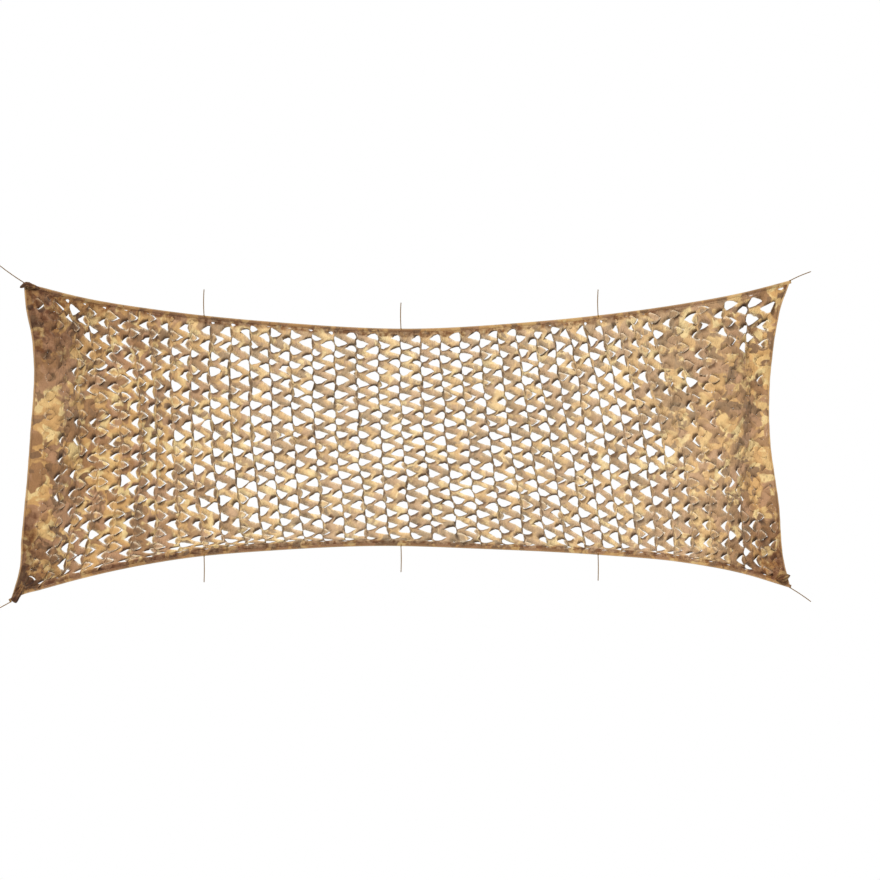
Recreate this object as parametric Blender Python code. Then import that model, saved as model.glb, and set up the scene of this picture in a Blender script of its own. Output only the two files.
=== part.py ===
"""Camouflage netting, hung upright and stretched between ten short ties.

The netting is one cloth panel, cut through in a brick pattern of leaf-shaped gaps, with a bound edge
strip along each side and a cord tie at each corner and at three places along the top and the bottom.
The real cloth has well over a thousand gaps, so this one is cut at twice the real pitch.

Frame: metres, +Z up, +X along the netting, the netting's face towards -Y. The origin is the middle of
the top edge.
"""

import math

import bmesh
import bpy
import numpy as np

# Cloth and edge strips
CLOTH_THICKNESS = 0.0025
STRIP_THICKNESS = 0.004
LONG_STRIP_WIDTH = 0.030
SHORT_STRIP_WIDTH = 0.018
HEM_DEPTH = 0.065
GAP = 0.0004

# The hung outline: (x, z) along the two long edges
TOP_EDGE = (
    (-4.165, 0.420), (-3.570, 0.286), (-2.720, 0.166), (-1.434, 0.054), (0.000, 0.000),
    (1.171, 0.060), (2.050, 0.138), (2.934, 0.248), (3.600, 0.358), (4.165, 0.485),
)
BOTTOM_EDGE = (
    (-4.310, -2.600), (-4.200, -2.540), (-3.994, -2.486), (-3.358, -2.338), (-2.506, -2.199),
    (-1.434, -2.118), (-0.350, -2.083), (0.733, -2.114), (2.050, -2.178), (2.934, -2.250),
    (3.600, -2.359), (4.165, -2.507),
)
# (share of the way down, x) along the two short edges
LEFT_EDGE = (
    (0.00, -4.165), (0.07, -4.142), (0.17, -4.078), (0.25, -4.057), (0.52, -4.100),
    (0.82, -4.184), (0.92, -4.216), (1.00, -4.310),
)
RIGHT_EDGE = (
    (0.00, 4.165), (0.08, 4.047), (0.14, 3.998), (0.24, 3.957), (0.39, 3.935),
    (0.55, 3.946), (0.75, 4.033), (0.93, 4.090), (1.00, 4.165),
)

# Where the columns of the cut pattern hang: (column, x at the top, x half-way down, x at the bottom)
COLUMNS = (
    (-18.60, -4.165, -4.070, -4.250),
    (-13.75, -3.252, -3.103, -3.273),
    (-9.75, -2.325, -2.314, -2.143),
    (-5.75, -1.488, -1.467, -1.327),
    (0.25, -0.094, -0.072, 0.047),
    (6.25, 1.171, 1.335, 1.533),
    (10.25, 1.907, 2.171, 2.359),
    (14.25, 2.602, 3.023, 3.122),
    (18.85, 4.165, 3.940, 4.165),
)
LEFT_COLUMN = COLUMNS[0][0]
RIGHT_COLUMN = COLUMNS[-1][0]
SIDE_PULL_COLUMNS = 5.0

# The cut pattern: each period has a gap that points right and, half a row lower, one that points left
PERIOD = 2.0
FIRST_HINGE = -17.6
PERIODS = 18
ROWS = 8
# (share of a period, share of a row) from the gap's hinge line and its middle
TILE_CORNERS = ((0.065, -0.5), (-0.085, 0.0), (0.065, 0.5), (0.38, 0.5), (0.60, 0.0), (0.38, -0.5))
GAP_CORNERS = ((0.06, -0.26), (-0.02, 0.0), (0.06, 0.26), (0.24, 0.31), (0.53, 0.0), (0.24, -0.31))
MIRROR_SPAN = 0.98
LEAF_REACH = 0.42
# (column, how far the gaps stand open): the leaves lie flatter towards the two ends
OPENING = (
    (-18.6, 0.0), (-16.0, 0.05), (-14.5, 0.35), (-12.0, 0.50), (-9.0, 0.65), (-5.0, 0.90),
    (0.0, 1.0), (6.0, 1.0), (10.0, 0.80), (13.0, 0.60), (15.0, 0.30), (18.85, 0.0),
)
LEAST_OPENING = 0.25
OPEN_CORNER = (3.55, 0.10)
OPEN_CORNER_REACH = 0.45

# Folds: a slight billow, folds that run from the corners, and upright folds (x, how far back) at the ends
BILLOW = 0.010
CORNER_FOLD = 0.020
CORNER_FOLD_REACH = 0.90
CORNER_FOLD_START = 0.30
CORNER_FOLD_COUNT = 13.0
UPRIGHT_FOLDS = (
    (-4.40, 0.000), (-4.09, 0.000), (-3.95, -0.060), (-3.50, 0.074), (-3.05, -0.055), (-2.65, 0.015),
    (-2.20, 0.000), (2.10, 0.000), (2.60, 0.018), (3.00, 0.040), (3.52, -0.070), (3.78, 0.062),
    (3.92, 0.000), (4.40, 0.000),
)
FOLD_SWAY = 0.045
FOLD_SWAY_TURN = 2.6
FOLD_FADE = 0.6

# Ties: (name, foot x, foot z, reach x, reach z), each a short straight cord
TIE_DIAMETER = 0.009
TIE_POINTS = 8
TIE_BOW = 0.004
CORNER_TIES = (
    ("tie_corner_top_left", -4.165, 0.420, -0.271, 0.170),
    ("tie_corner_top_right", 4.165, 0.485, 0.228, 0.086),
    ("tie_corner_bottom_left", -4.310, -2.600, -0.229, -0.101),
    ("tie_corner_bottom_right", 4.165, -2.507, 0.228, -0.134),
)
EDGE_TIE_X = (-2.250, -0.127, 2.028)
EDGE_TIE_LENGTH = 0.250

COLOURS = {
    "net": (0.33, 0.22, 0.11, 1.0),
    "strip": (0.12, 0.085, 0.05, 1.0),
    "tie": (0.50, 0.46, 0.38, 1.0),
}


def clear_scene():
    """Remove every object of the open scene."""
    for scene_object in list(bpy.data.objects):
        bpy.data.objects.remove(scene_object, do_unlink=True)


def make_material(name, colour, roughness):
    """A plain cloth material."""
    material = bpy.data.materials.new(name)
    material.use_nodes = True
    shader = material.node_tree.nodes["Principled BSDF"]
    shader.inputs["Base Color"].default_value = colour
    shader.inputs["Roughness"].default_value = roughness
    shader.inputs["Metallic"].default_value = 0.0
    return material


def smooth(knots, at, value=1):
    """A cubic curve through a table's points, each slope taken from the points beside it."""
    table = np.array(knots, dtype=float)
    xs = table[:, 0]
    ys = table[:, value]
    slopes = np.gradient(ys, xs)
    at = np.asarray(at, dtype=float)
    left = np.clip(np.searchsorted(xs, at, side="right") - 1, 0, len(xs) - 2)
    width = xs[left + 1] - xs[left]
    part = (at - xs[left]) / width
    bend_in = part * (1.0 - part) ** 2
    bend_out = part**2 * (part - 1.0)
    ease = part**2 * (3.0 - 2.0 * part)
    line = ys[left] * (1.0 - ease) + ys[left + 1] * ease
    return line + width * (slopes[left] * bend_in + slopes[left + 1] * bend_out)


def swayed_x(column, down):
    """Where a column hangs, on a parabola through its top, middle and bottom."""
    top, middle, bottom = (smooth(COLUMNS, column, value) for value in (1, 2, 3))
    upper = top * (1.0 - down) * (1.0 - 2.0 * down)
    lower = bottom * down * (2.0 * down - 1.0)
    return upper + 4.0 * middle * down * (1.0 - down) + lower


def column_x(column, down):
    """Where a column hangs once the short edges have pulled the columns beside them along."""
    left_pull = np.clip(1.0 - (column - LEFT_COLUMN) / SIDE_PULL_COLUMNS, 0.0, 1.0) ** 2
    right_pull = np.clip(1.0 - (RIGHT_COLUMN - column) / SIDE_PULL_COLUMNS, 0.0, 1.0) ** 2
    left_shift = smooth(LEFT_EDGE, down) - swayed_x(LEFT_COLUMN, down)
    right_shift = smooth(RIGHT_EDGE, down) - swayed_x(RIGHT_COLUMN, down)
    return swayed_x(column, down) + left_pull * left_shift + right_pull * right_shift


def relief(x, z):
    """How far the cloth stands off its plane: a billow, folds from the corners and upright end folds."""
    down = (smooth(TOP_EDGE, x) - z) / (smooth(TOP_EDGE, x) - smooth(BOTTOM_EDGE, x))
    inside = np.sin(math.pi * np.clip(down, 0.0, 1.0))
    offset = -BILLOW * np.cos(math.pi * x / 8.33) * inside
    for corner_x, corner_z in (TOP_EDGE[0], TOP_EDGE[-1], BOTTOM_EDGE[0], BOTTOM_EDGE[-1]):
        away_x = np.abs(x - corner_x)
        away_z = np.abs(z - corner_z)
        distance = np.hypot(away_x, away_z)
        angle = np.arctan2(away_z, away_x)
        fade = np.exp(-distance / CORNER_FOLD_REACH) * (1.0 - np.exp(-((distance / CORNER_FOLD_START) ** 2)))
        offset = offset + CORNER_FOLD * fade * np.cos(CORNER_FOLD_COUNT * angle)
    swayed = x + FOLD_SWAY * np.sin(FOLD_SWAY_TURN * z) * inside
    return offset + smooth(UPRIGHT_FOLDS, swayed) * np.maximum(inside, 0.0) ** FOLD_FADE


def hung_point(column, down, edge_inset, side_inset=0.0):
    """A point of the hung cloth, between two lines that lie edge_inset inside the long edges."""
    x = float(column_x(column, down)) + side_inset
    upper = float(smooth(TOP_EDGE, x)) - edge_inset
    lower = float(smooth(BOTTOM_EDGE, x)) + edge_inset
    z = upper + (lower - upper) * down
    return x, float(relief(x, z)), z


def opening_at(column, down):
    """How far a gap stands open, from 0, closed, to 1."""
    x, _, z = hung_point(column, down, HEM_DEPTH)
    near = math.exp(-((x - OPEN_CORNER[0]) ** 2 + (z - OPEN_CORNER[1]) ** 2) / OPEN_CORNER_REACH**2)
    return min(1.0, float(smooth(OPENING, column)) + near)


def add_object(name, mesh, material, collection):
    """Put a mesh in the scene as one sub-part."""
    mesh.materials.append(material)
    collection.objects.link(bpy.data.objects.new(name, mesh))


def thick_mesh(name, bm, thickness):
    """Close an open surface into a sheet, half its thickness to each side along Y.

    Every wall then runs along Y, so the gap between two neighbouring sheets is the same all through.
    """
    bmesh.ops.translate(bm, verts=bm.verts, vec=(0.0, -thickness / 2.0, 0.0))
    extruded = bmesh.ops.extrude_face_region(bm, geom=list(bm.faces), use_keep_orig=True)
    back = [item for item in extruded["geom"] if isinstance(item, bmesh.types.BMVert)]
    bmesh.ops.translate(bm, verts=back, vec=(0.0, thickness, 0.0))
    bmesh.ops.recalc_face_normals(bm, faces=bm.faces)
    mesh = bpy.data.meshes.new(name)
    bm.to_mesh(mesh)
    bm.free()
    return mesh


def hinge_column(period, half_row):
    """The wavy line that the leaves of a period hang from."""
    share = TILE_CORNERS[1][0] if half_row % 2 else TILE_CORNERS[0][0]
    return FIRST_HINGE + PERIOD * (period + share)


def middle_column(period, half_row):
    """The wavy line between the tips of the two kinds of gap."""
    share = TILE_CORNERS[4][0] if half_row % 2 else TILE_CORNERS[3][0]
    return FIRST_HINGE + PERIOD * (period + share)


def pattern_lines(half_row):
    """The pattern's column lines at one half row, from left to right."""
    columns = []
    for period in range(PERIODS):
        columns.append(hinge_column(period, half_row))
        columns.append(middle_column(period, half_row))
    return columns + [hinge_column(PERIODS, half_row)]


def line_points(down, half_row, edge_inset, side_inset):
    """One line of points across the cloth: a short edge, the pattern's lines, the other short edge."""
    points = [hung_point(LEFT_COLUMN, down, edge_inset, side_inset)]
    points += [hung_point(column, down, edge_inset) for column in pattern_lines(half_row)]
    points.append(hung_point(RIGHT_COLUMN, down, edge_inset, -side_inset))
    return points


def gap_points(period, half_row, points_right, opening):
    """The six corners of one gap, its hinge side moved in where a leaf still covers part of it."""
    points = []
    for place, (share, row_share) in enumerate(GAP_CORNERS):
        if place == 1:
            share += (1.0 - opening) * LEAF_REACH
        if not points_right:
            share = MIRROR_SPAN - share
        down = (half_row + 2.0 * row_share) / (2.0 * ROWS)
        points.append(hung_point(FIRST_HINGE + PERIOD * (period + share), down, HEM_DEPTH))
    return points


def tile_faces(bm, corners, gap):
    """Faces of one tile, a ring around its gap, or two plain faces where there is none."""
    if gap is None:
        bm.faces.new((corners[0], corners[1], corners[4], corners[5]))
        bm.faces.new((corners[1], corners[2], corners[3], corners[4]))
        return
    rim = [bm.verts.new(point) for point in gap]
    bm.faces.new((corners[0], corners[1], rim[0]))
    bm.faces.new((corners[1], rim[1], rim[0]))
    bm.faces.new((corners[1], corners[2], rim[2]))
    bm.faces.new((corners[1], rim[2], rim[1]))
    for first in range(2, 6):
        second = (first + 1) % 6
        bm.faces.new((corners[first], corners[second], rim[second], rim[first]))


def build_panel(collection):
    """The netting cloth: a lattice of tiles inside an uncut border."""
    side_inset = SHORT_STRIP_WIDTH + GAP
    outer_inset = LONG_STRIP_WIDTH + GAP
    half_rows = 2 * ROWS
    bm = bmesh.new()
    lines = [line_points(0.0, 0, outer_inset, side_inset)]
    for half_row in range(half_rows + 1):
        lines.append(line_points(half_row / half_rows, half_row, HEM_DEPTH, side_inset))
    lines.append(line_points(1.0, 0, outer_inset, side_inset))
    grid = [[bm.verts.new(point) for point in line] for line in lines]
    last = len(grid[0]) - 1

    def quad(row, place):
        bm.faces.new((grid[row][place], grid[row + 1][place], grid[row + 1][place + 1], grid[row][place + 1]))

    for place in range(last):
        quad(0, place)
        quad(len(grid) - 2, place)
    for row in range(1, half_rows + 1):
        quad(row, 0)
        quad(row, last - 1)
    for period in range(PERIODS):
        hinge = 1 + 2 * period
        quad(1, hinge + 1)
        quad(half_rows, hinge + 1)
        for half_row in range(1, half_rows):
            points_right = half_row % 2 == 1
            near, far = (hinge, hinge + 1) if points_right else (hinge + 2, hinge + 1)
            rows = (half_row, half_row + 1, half_row + 2)
            corners = [grid[row][near] for row in rows] + [grid[row][far] for row in reversed(rows)]
            column = FIRST_HINGE + PERIOD * (period + (0.25 if points_right else 0.73))
            opening = opening_at(column, half_row / half_rows)
            gap = None
            if opening >= LEAST_OPENING:
                gap = gap_points(period, half_row, points_right, opening)
            tile_faces(bm, corners, gap)

    mesh = thick_mesh("net_panel", bm, CLOTH_THICKNESS)
    add_object("net_panel", mesh, make_material("net_cloth", COLOURS["net"], 0.85), collection)


def build_strip(name, outer, inner, collection):
    """One edge strip, a band between its outer and its inner line."""
    bm = bmesh.new()
    outer_verts = [bm.verts.new(point) for point in outer]
    inner_verts = [bm.verts.new(point) for point in inner]
    for place in range(len(outer) - 1):
        bm.faces.new(
            (outer_verts[place], inner_verts[place], inner_verts[place + 1], outer_verts[place + 1])
        )
    mesh = thick_mesh(name, bm, STRIP_THICKNESS)
    add_object(name, mesh, make_material(name + "_tape", COLOURS["strip"], 0.8), collection)


def build_long_strip(name, down, collection):
    """The strip along the top or the bottom, over the whole length."""
    side_inset = SHORT_STRIP_WIDTH + GAP
    lines = []
    for edge_inset in (0.0, LONG_STRIP_WIDTH):
        line = line_points(down, 0, edge_inset, side_inset)
        line.insert(0, hung_point(LEFT_COLUMN, down, edge_inset))
        line.append(hung_point(RIGHT_COLUMN, down, edge_inset))
        lines.append(line)
    build_strip(name, lines[0], lines[1], collection)


def build_short_strip(name, column, inward, collection):
    """The strip along one side, between the two long strips."""
    lines = []
    for side_inset in (0.0, inward * SHORT_STRIP_WIDTH):
        line = [hung_point(column, 0.0, LONG_STRIP_WIDTH + GAP, side_inset)]
        for half_row in range(2 * ROWS + 1):
            line.append(hung_point(column, half_row / (2.0 * ROWS), HEM_DEPTH, side_inset))
        line.append(hung_point(column, 1.0, LONG_STRIP_WIDTH + GAP, side_inset))
        lines.append(line)
    build_strip(name, lines[0], lines[1], collection)


def build_tie(name, foot, reach, seat, collection):
    """One tie: a cord with a slight bow, from its seat on the edge strip to its free end."""
    length = math.hypot(reach[0], reach[1])
    along = (reach[0] / length, reach[1] / length)
    curve = bpy.data.curves.new(name, "CURVE")
    curve.dimensions = "3D"
    curve.bevel_depth = TIE_DIAMETER / 2.0
    curve.bevel_resolution = 2
    curve.use_fill_caps = True
    spline = curve.splines.new("POLY")
    spline.points.add(TIE_POINTS - 1)
    for place, point in enumerate(spline.points):
        part = place / (TIE_POINTS - 1)
        run = seat + part * length
        side = TIE_BOW * math.sin(math.pi * part)
        x = foot[0] + along[0] * run - along[1] * side
        z = foot[2] + along[1] * run + along[0] * side
        point.co = (x, foot[1] + 0.5 * side, z, 1.0)
    tie = bpy.data.objects.new(name, curve)
    curve.materials.append(make_material(name + "_cord", COLOURS["tie"], 0.75))
    collection.objects.link(tie)


def build_ties(collection):
    """Four corner ties, and three along each long edge."""
    for name, x, z, reach_x, reach_z in CORNER_TIES:
        build_tie(name, (x, float(relief(x, z)), z), (reach_x, reach_z), GAP, collection)
    for side, down, way in (("top", 0.0, 1.0), ("bottom", 1.0, -1.0)):
        xs, ys, zs = np.array(line_points(down, 0, 0.0, 0.0)).T
        for number, x in enumerate(EDGE_TIE_X, start=1):
            foot = (x, float(np.interp(x, xs, ys)), float(np.interp(x, xs, zs)))
            beside = float(np.interp(x + TIE_DIAMETER, xs, zs))
            seat = GAP + 0.5 * abs(beside - foot[2])
            reach = (0.0, way * EDGE_TIE_LENGTH)
            build_tie(f"tie_{side}_{number}", foot, reach, seat, collection)


def main():
    clear_scene()
    collection = bpy.data.collections.new("camouflage_netting")
    bpy.context.scene.collection.children.link(collection)
    build_panel(collection)
    build_long_strip("edge_top", 0.0, collection)
    build_long_strip("edge_bottom", 1.0, collection)
    build_short_strip("edge_left", LEFT_COLUMN, 1.0, collection)
    build_short_strip("edge_right", RIGHT_COLUMN, -1.0, collection)
    build_ties(collection)


main()
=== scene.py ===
# %% [markdown]
# # Camouflage netting, hung and stretched
#
# The netting is one long cloth with rows of arc-shaped cuts. Pulled tight, every cut opens into a gap and
# its leaf of cloth turns out of the way. A folded edge tape runs round it, and ten short cords hold it.
#
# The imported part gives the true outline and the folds, with the gaps cut at twice their real pitch. This
# lesson makes the fine cloth on the same lines: each piece is a surface worked out with numpy, and each
# finish is built from nodes.

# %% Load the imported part
import math

import bpy
import numpy as np
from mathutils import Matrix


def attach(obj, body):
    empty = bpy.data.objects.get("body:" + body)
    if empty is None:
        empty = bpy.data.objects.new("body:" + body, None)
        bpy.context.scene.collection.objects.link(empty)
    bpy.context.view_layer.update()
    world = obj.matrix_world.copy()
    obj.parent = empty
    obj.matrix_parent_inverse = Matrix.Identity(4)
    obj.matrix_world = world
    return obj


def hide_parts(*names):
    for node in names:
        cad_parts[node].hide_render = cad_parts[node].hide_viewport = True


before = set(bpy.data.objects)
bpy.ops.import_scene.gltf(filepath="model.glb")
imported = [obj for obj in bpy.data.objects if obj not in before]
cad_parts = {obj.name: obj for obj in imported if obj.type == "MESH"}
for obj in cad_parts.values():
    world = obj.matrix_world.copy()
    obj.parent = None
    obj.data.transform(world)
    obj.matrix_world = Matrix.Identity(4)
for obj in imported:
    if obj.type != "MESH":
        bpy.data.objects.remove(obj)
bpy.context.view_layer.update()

# %% [markdown]
# ## Camera
#
# A netting more than eight metres long is best seen from far away with a long lens, so nothing in it looks
# nearer than the rest. The camera stands to the left of the middle, at the height of the netting's own
# middle. A camera could be aimed with a constraint, but here its turn is worked out once, so nothing live
# is left on it.

# %% Camera
from mathutils import Vector

CAMERA_TURN = math.radians(-28.2)
CAMERA_DISTANCE = 138.0
CAMERA_AIM = Vector((0.297, 0.0, -1.068))
CAMERA_LENS = 588.35

camera_data = bpy.data.cameras.new("camera")
camera_data.lens = CAMERA_LENS
camera_data.sensor_width = 36.0
camera_data.clip_start = 1.0
camera_data.clip_end = 600.0
camera = bpy.data.objects.new("camera", camera_data)
towards_camera = Vector((math.sin(CAMERA_TURN), -math.cos(CAMERA_TURN), 0.0))
camera.location = CAMERA_AIM + CAMERA_DISTANCE * towards_camera
camera.rotation_mode = "QUATERNION"
camera.rotation_quaternion = (-towards_camera).to_track_quat("-Z", "Y")
bpy.context.scene.collection.objects.link(camera)
bpy.context.scene.camera = camera
print("camera at", np.round(camera.location, 2))

# %% [markdown]
# ## The hung shape
#
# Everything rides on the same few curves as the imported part: two long edges, two short ones, the folds and
# the places where the cut columns hang. They are repeated here as short tables with one smooth curve
# through each, so that every piece can ask where a point of the cloth hangs.

# %% Curves through short tables
TOP_EDGE = (
    (-4.165, 0.420), (-3.570, 0.286), (-2.720, 0.166), (-1.434, 0.054), (0.000, 0.000),
    (1.171, 0.060), (2.050, 0.138), (2.934, 0.248), (3.600, 0.358), (4.165, 0.485),
)
BOTTOM_EDGE = (
    (-4.310, -2.600), (-4.200, -2.540), (-3.994, -2.486), (-3.358, -2.338), (-2.506, -2.199),
    (-1.434, -2.118), (-0.350, -2.083), (0.733, -2.114), (2.050, -2.178), (2.934, -2.250),
    (3.600, -2.359), (4.165, -2.507),
)
LEFT_EDGE = (
    (0.00, -4.165), (0.07, -4.142), (0.17, -4.078), (0.25, -4.057), (0.52, -4.100),
    (0.82, -4.184), (0.92, -4.216), (1.00, -4.310),
)
RIGHT_EDGE = (
    (0.00, 4.165), (0.08, 4.047), (0.14, 3.998), (0.24, 3.957), (0.39, 3.935),
    (0.55, 3.946), (0.75, 4.033), (0.93, 4.090), (1.00, 4.165),
)
COLUMNS = (
    (-18.60, -4.165, -4.070, -4.250),
    (-13.75, -3.252, -3.103, -3.273),
    (-9.75, -2.325, -2.314, -2.143),
    (-5.75, -1.488, -1.467, -1.327),
    (0.25, -0.094, -0.072, 0.047),
    (6.25, 1.171, 1.335, 1.533),
    (10.25, 1.907, 2.171, 2.359),
    (14.25, 2.602, 3.023, 3.122),
    (19.30, 4.165, 3.940, 4.165),
)
LEFT_COLUMN = COLUMNS[0][0]
RIGHT_COLUMN = COLUMNS[-1][0]
SIDE_PULL_COLUMNS = 5.0


def smooth(knots, at, value=1):
    """A cubic curve through a table's points, each slope taken from the points beside it."""
    table = np.array(knots, dtype=float)
    xs = table[:, 0]
    ys = table[:, value]
    slopes = np.gradient(ys, xs)
    at = np.asarray(at, dtype=float)
    left = np.clip(np.searchsorted(xs, at, side="right") - 1, 0, len(xs) - 2)
    width = xs[left + 1] - xs[left]
    part = (at - xs[left]) / width
    bend_in = part * (1.0 - part) ** 2
    bend_out = part**2 * (part - 1.0)
    ease = part**2 * (3.0 - 2.0 * part)
    line = ys[left] * (1.0 - ease) + ys[left + 1] * ease
    return line + width * (slopes[left] * bend_in + slopes[left + 1] * bend_out)


def swayed_x(column, down):
    """Where a column hangs: a parabola through its top, middle and bottom."""
    top, middle, bottom = (smooth(COLUMNS, column, value) for value in (1, 2, 3))
    upper = top * (1.0 - down) * (1.0 - 2.0 * down)
    lower = bottom * down * (2.0 * down - 1.0)
    return upper + 4.0 * middle * down * (1.0 - down) + lower


def column_x(column, down):
    """The same, once the short edges have pulled the nearest five columns along with them."""
    left_pull = np.clip(1.0 - (column - LEFT_COLUMN) / SIDE_PULL_COLUMNS, 0.0, 1.0) ** 2
    right_pull = np.clip(1.0 - (RIGHT_COLUMN - column) / SIDE_PULL_COLUMNS, 0.0, 1.0) ** 2
    left_shift = smooth(LEFT_EDGE, down) - swayed_x(LEFT_COLUMN, down)
    right_shift = smooth(RIGHT_EDGE, down) - swayed_x(RIGHT_COLUMN, down)
    return swayed_x(column, down) + left_pull * left_shift + right_pull * right_shift


print("the top edge dips", round(float(smooth(TOP_EDGE, 4.165) - smooth(TOP_EDGE, 0.0)), 3), "m")

# %% Folds of the whole cloth
BILLOW = 0.010
BILLOW_SPAN = 8.33
CORNER_FOLD = 0.020
CORNER_FOLD_REACH = 0.90
CORNER_FOLD_START = 0.30
CORNER_FOLD_COUNT = 13.0
UPRIGHT_FOLDS = (
    (-4.40, 0.000), (-4.09, 0.000), (-3.95, -0.060), (-3.50, 0.074), (-3.05, -0.055), (-2.65, 0.015),
    (-2.20, 0.000), (2.10, 0.000), (2.60, 0.018), (3.00, 0.040), (3.52, -0.070), (3.78, 0.062),
    (3.92, 0.000), (4.40, 0.000),
)
FOLD_SWAY = 0.045
FOLD_SWAY_TURN = 2.6
FOLD_FADE = 0.6


def relief(x, z):
    """How far back the cloth hangs: a slight billow, a cosine fan of folds from each corner that fades with
    distance, and the table of upright folds, which sway by a sine of the height and fade towards the long
    edges."""
    down = (smooth(TOP_EDGE, x) - z) / (smooth(TOP_EDGE, x) - smooth(BOTTOM_EDGE, x))
    inside = np.sin(math.pi * np.clip(down, 0.0, 1.0))
    offset = -BILLOW * np.cos(math.pi * x / BILLOW_SPAN) * inside
    for corner_x, corner_z in (TOP_EDGE[0], TOP_EDGE[-1], BOTTOM_EDGE[0], BOTTOM_EDGE[-1]):
        away_x = np.abs(x - corner_x)
        away_z = np.abs(z - corner_z)
        distance = np.hypot(away_x, away_z)
        angle = np.arctan2(away_z, away_x)
        fade = np.exp(-distance / CORNER_FOLD_REACH) * (1.0 - np.exp(-((distance / CORNER_FOLD_START) ** 2)))
        offset = offset + CORNER_FOLD * fade * np.cos(CORNER_FOLD_COUNT * angle)
    swayed = x + FOLD_SWAY * np.sin(FOLD_SWAY_TURN * z) * inside
    return offset + smooth(UPRIGHT_FOLDS, swayed) * np.maximum(inside, 0.0) ** FOLD_FADE


print("deepest fold", round(float(relief(-3.47, -1.1)), 3), "m")

# %% [markdown]
# ## From arrays to a mesh
#
# Blender's operators could add each face, but a cloth with tens of thousands of them is far quicker as
# whole arrays: the points, the corner numbers of the faces, and one value per point for what the finish
# needs. Every piece of this lesson goes through the one helper below.

# %% Make a mesh piece from arrays
def make_piece(name, points, faces, flat=None, marks=None):
    """A mesh object from (n, 3) points and a list of corner arrays, one array for each kind of polygon.
    flat holds a UV place for each point, and marks holds one number a point for each named mark."""
    mesh = bpy.data.meshes.new(name)
    corners = np.concatenate([kind.ravel() for kind in faces]).astype(np.int32)
    sizes = np.concatenate([np.full(len(kind), kind.shape[1]) for kind in faces])
    starts = np.concatenate([[0], np.cumsum(sizes)[:-1]]).astype(np.int32)
    mesh.vertices.add(len(points))
    mesh.vertices.foreach_set("co", np.asarray(points, np.float32).ravel())
    mesh.loops.add(len(corners))
    mesh.loops.foreach_set("vertex_index", corners)
    mesh.polygons.add(len(sizes))
    mesh.polygons.foreach_set("loop_start", starts)
    mesh.update(calc_edges=True)
    mesh.shade_smooth()
    if flat is not None:
        layer = mesh.uv_layers.new(name="flat_cloth")
        layer.data.foreach_set("uv", np.asarray(flat, np.float32)[corners].ravel())
    for mark, values in (marks or {}).items():
        attribute = mesh.attributes.new(mark, "FLOAT", "POINT")
        attribute.data.foreach_set("value", np.asarray(values, np.float32))
    mesh.validate()
    piece = bpy.data.objects.new(name, mesh)
    bpy.context.scene.collection.objects.link(piece)
    return piece


def table_quads(numbers):
    """The quads between the neighbours of a table of point numbers."""
    corners = [numbers[:-1, :-1], numbers[1:, :-1], numbers[1:, 1:], numbers[:-1, 1:]]
    return np.stack(corners, axis=-1).reshape(-1, 4)


def wall_quads(rings, sides):
    """The quads round a tube whose points run round each ring in turn."""
    numbers = np.arange(rings * sides).reshape(rings, sides)
    return table_quads(np.concatenate([numbers, numbers[:, :1]], axis=1))


def tube_faces(rings, sides, turned_over=True):
    """A closed tube: the quads of its wall and one many-sided face on each end. The order of the corners
    says which way a face points, so turning it over points it the other way."""
    first = np.arange(sides)[None]
    last = (rings - 1) * sides + first
    faces = [wall_quads(rings, sides), first, last[:, ::-1]]
    return [face[:, ::-1] for face in faces] if turned_over else faces


print("helpers ready")

# %% [markdown]
# ## Ties
#
# Ten short cords hold the netting, one at each corner and three along each long edge. Each is a laid rope
# of three strands, 9 mm thick. A curve with a bevel would give a smooth tube, so the rope is a mesh tube
# instead: its radius follows the three strands as they turn round its line. Its free end is melted shut,
# as such cord is, so it rounds off and darkens. The lengths come first, because a cord is a fixed length
# of something, whatever its shape.

# %% Rope surface
TIE_DIAMETER = 0.009
TIE_POINTS = 8
TIE_BOW = 0.004
GAP = 0.0004
STRANDS = 3
LAY_LENGTH = 0.024
STRAND_DEPTH = 0.16
GROOVE_SHARPNESS = 1.5
CLOSED_END = 0.02
ROPE_SIDES = 18
ROPE_STEP = 0.0028
Y_AXIS = np.array((0.0, 1.0, 0.0))


def run_along(path):
    """How far along a path each of its points lies: the running sum of its steps."""
    return np.concatenate([[0.0], np.cumsum(np.linalg.norm(np.diff(path, axis=0), axis=1))])


def turned_frames(path):
    """Two unit vectors across each point of a path: the way forward crossed with Y, and the way forward
    crossed with that."""
    along = np.gradient(path, axis=0)
    along /= np.linalg.norm(along, axis=1)[:, None]
    first = np.cross(along, Y_AXIS)
    first /= np.linalg.norm(first, axis=1)[:, None]
    return first, np.cross(along, first)


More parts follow.
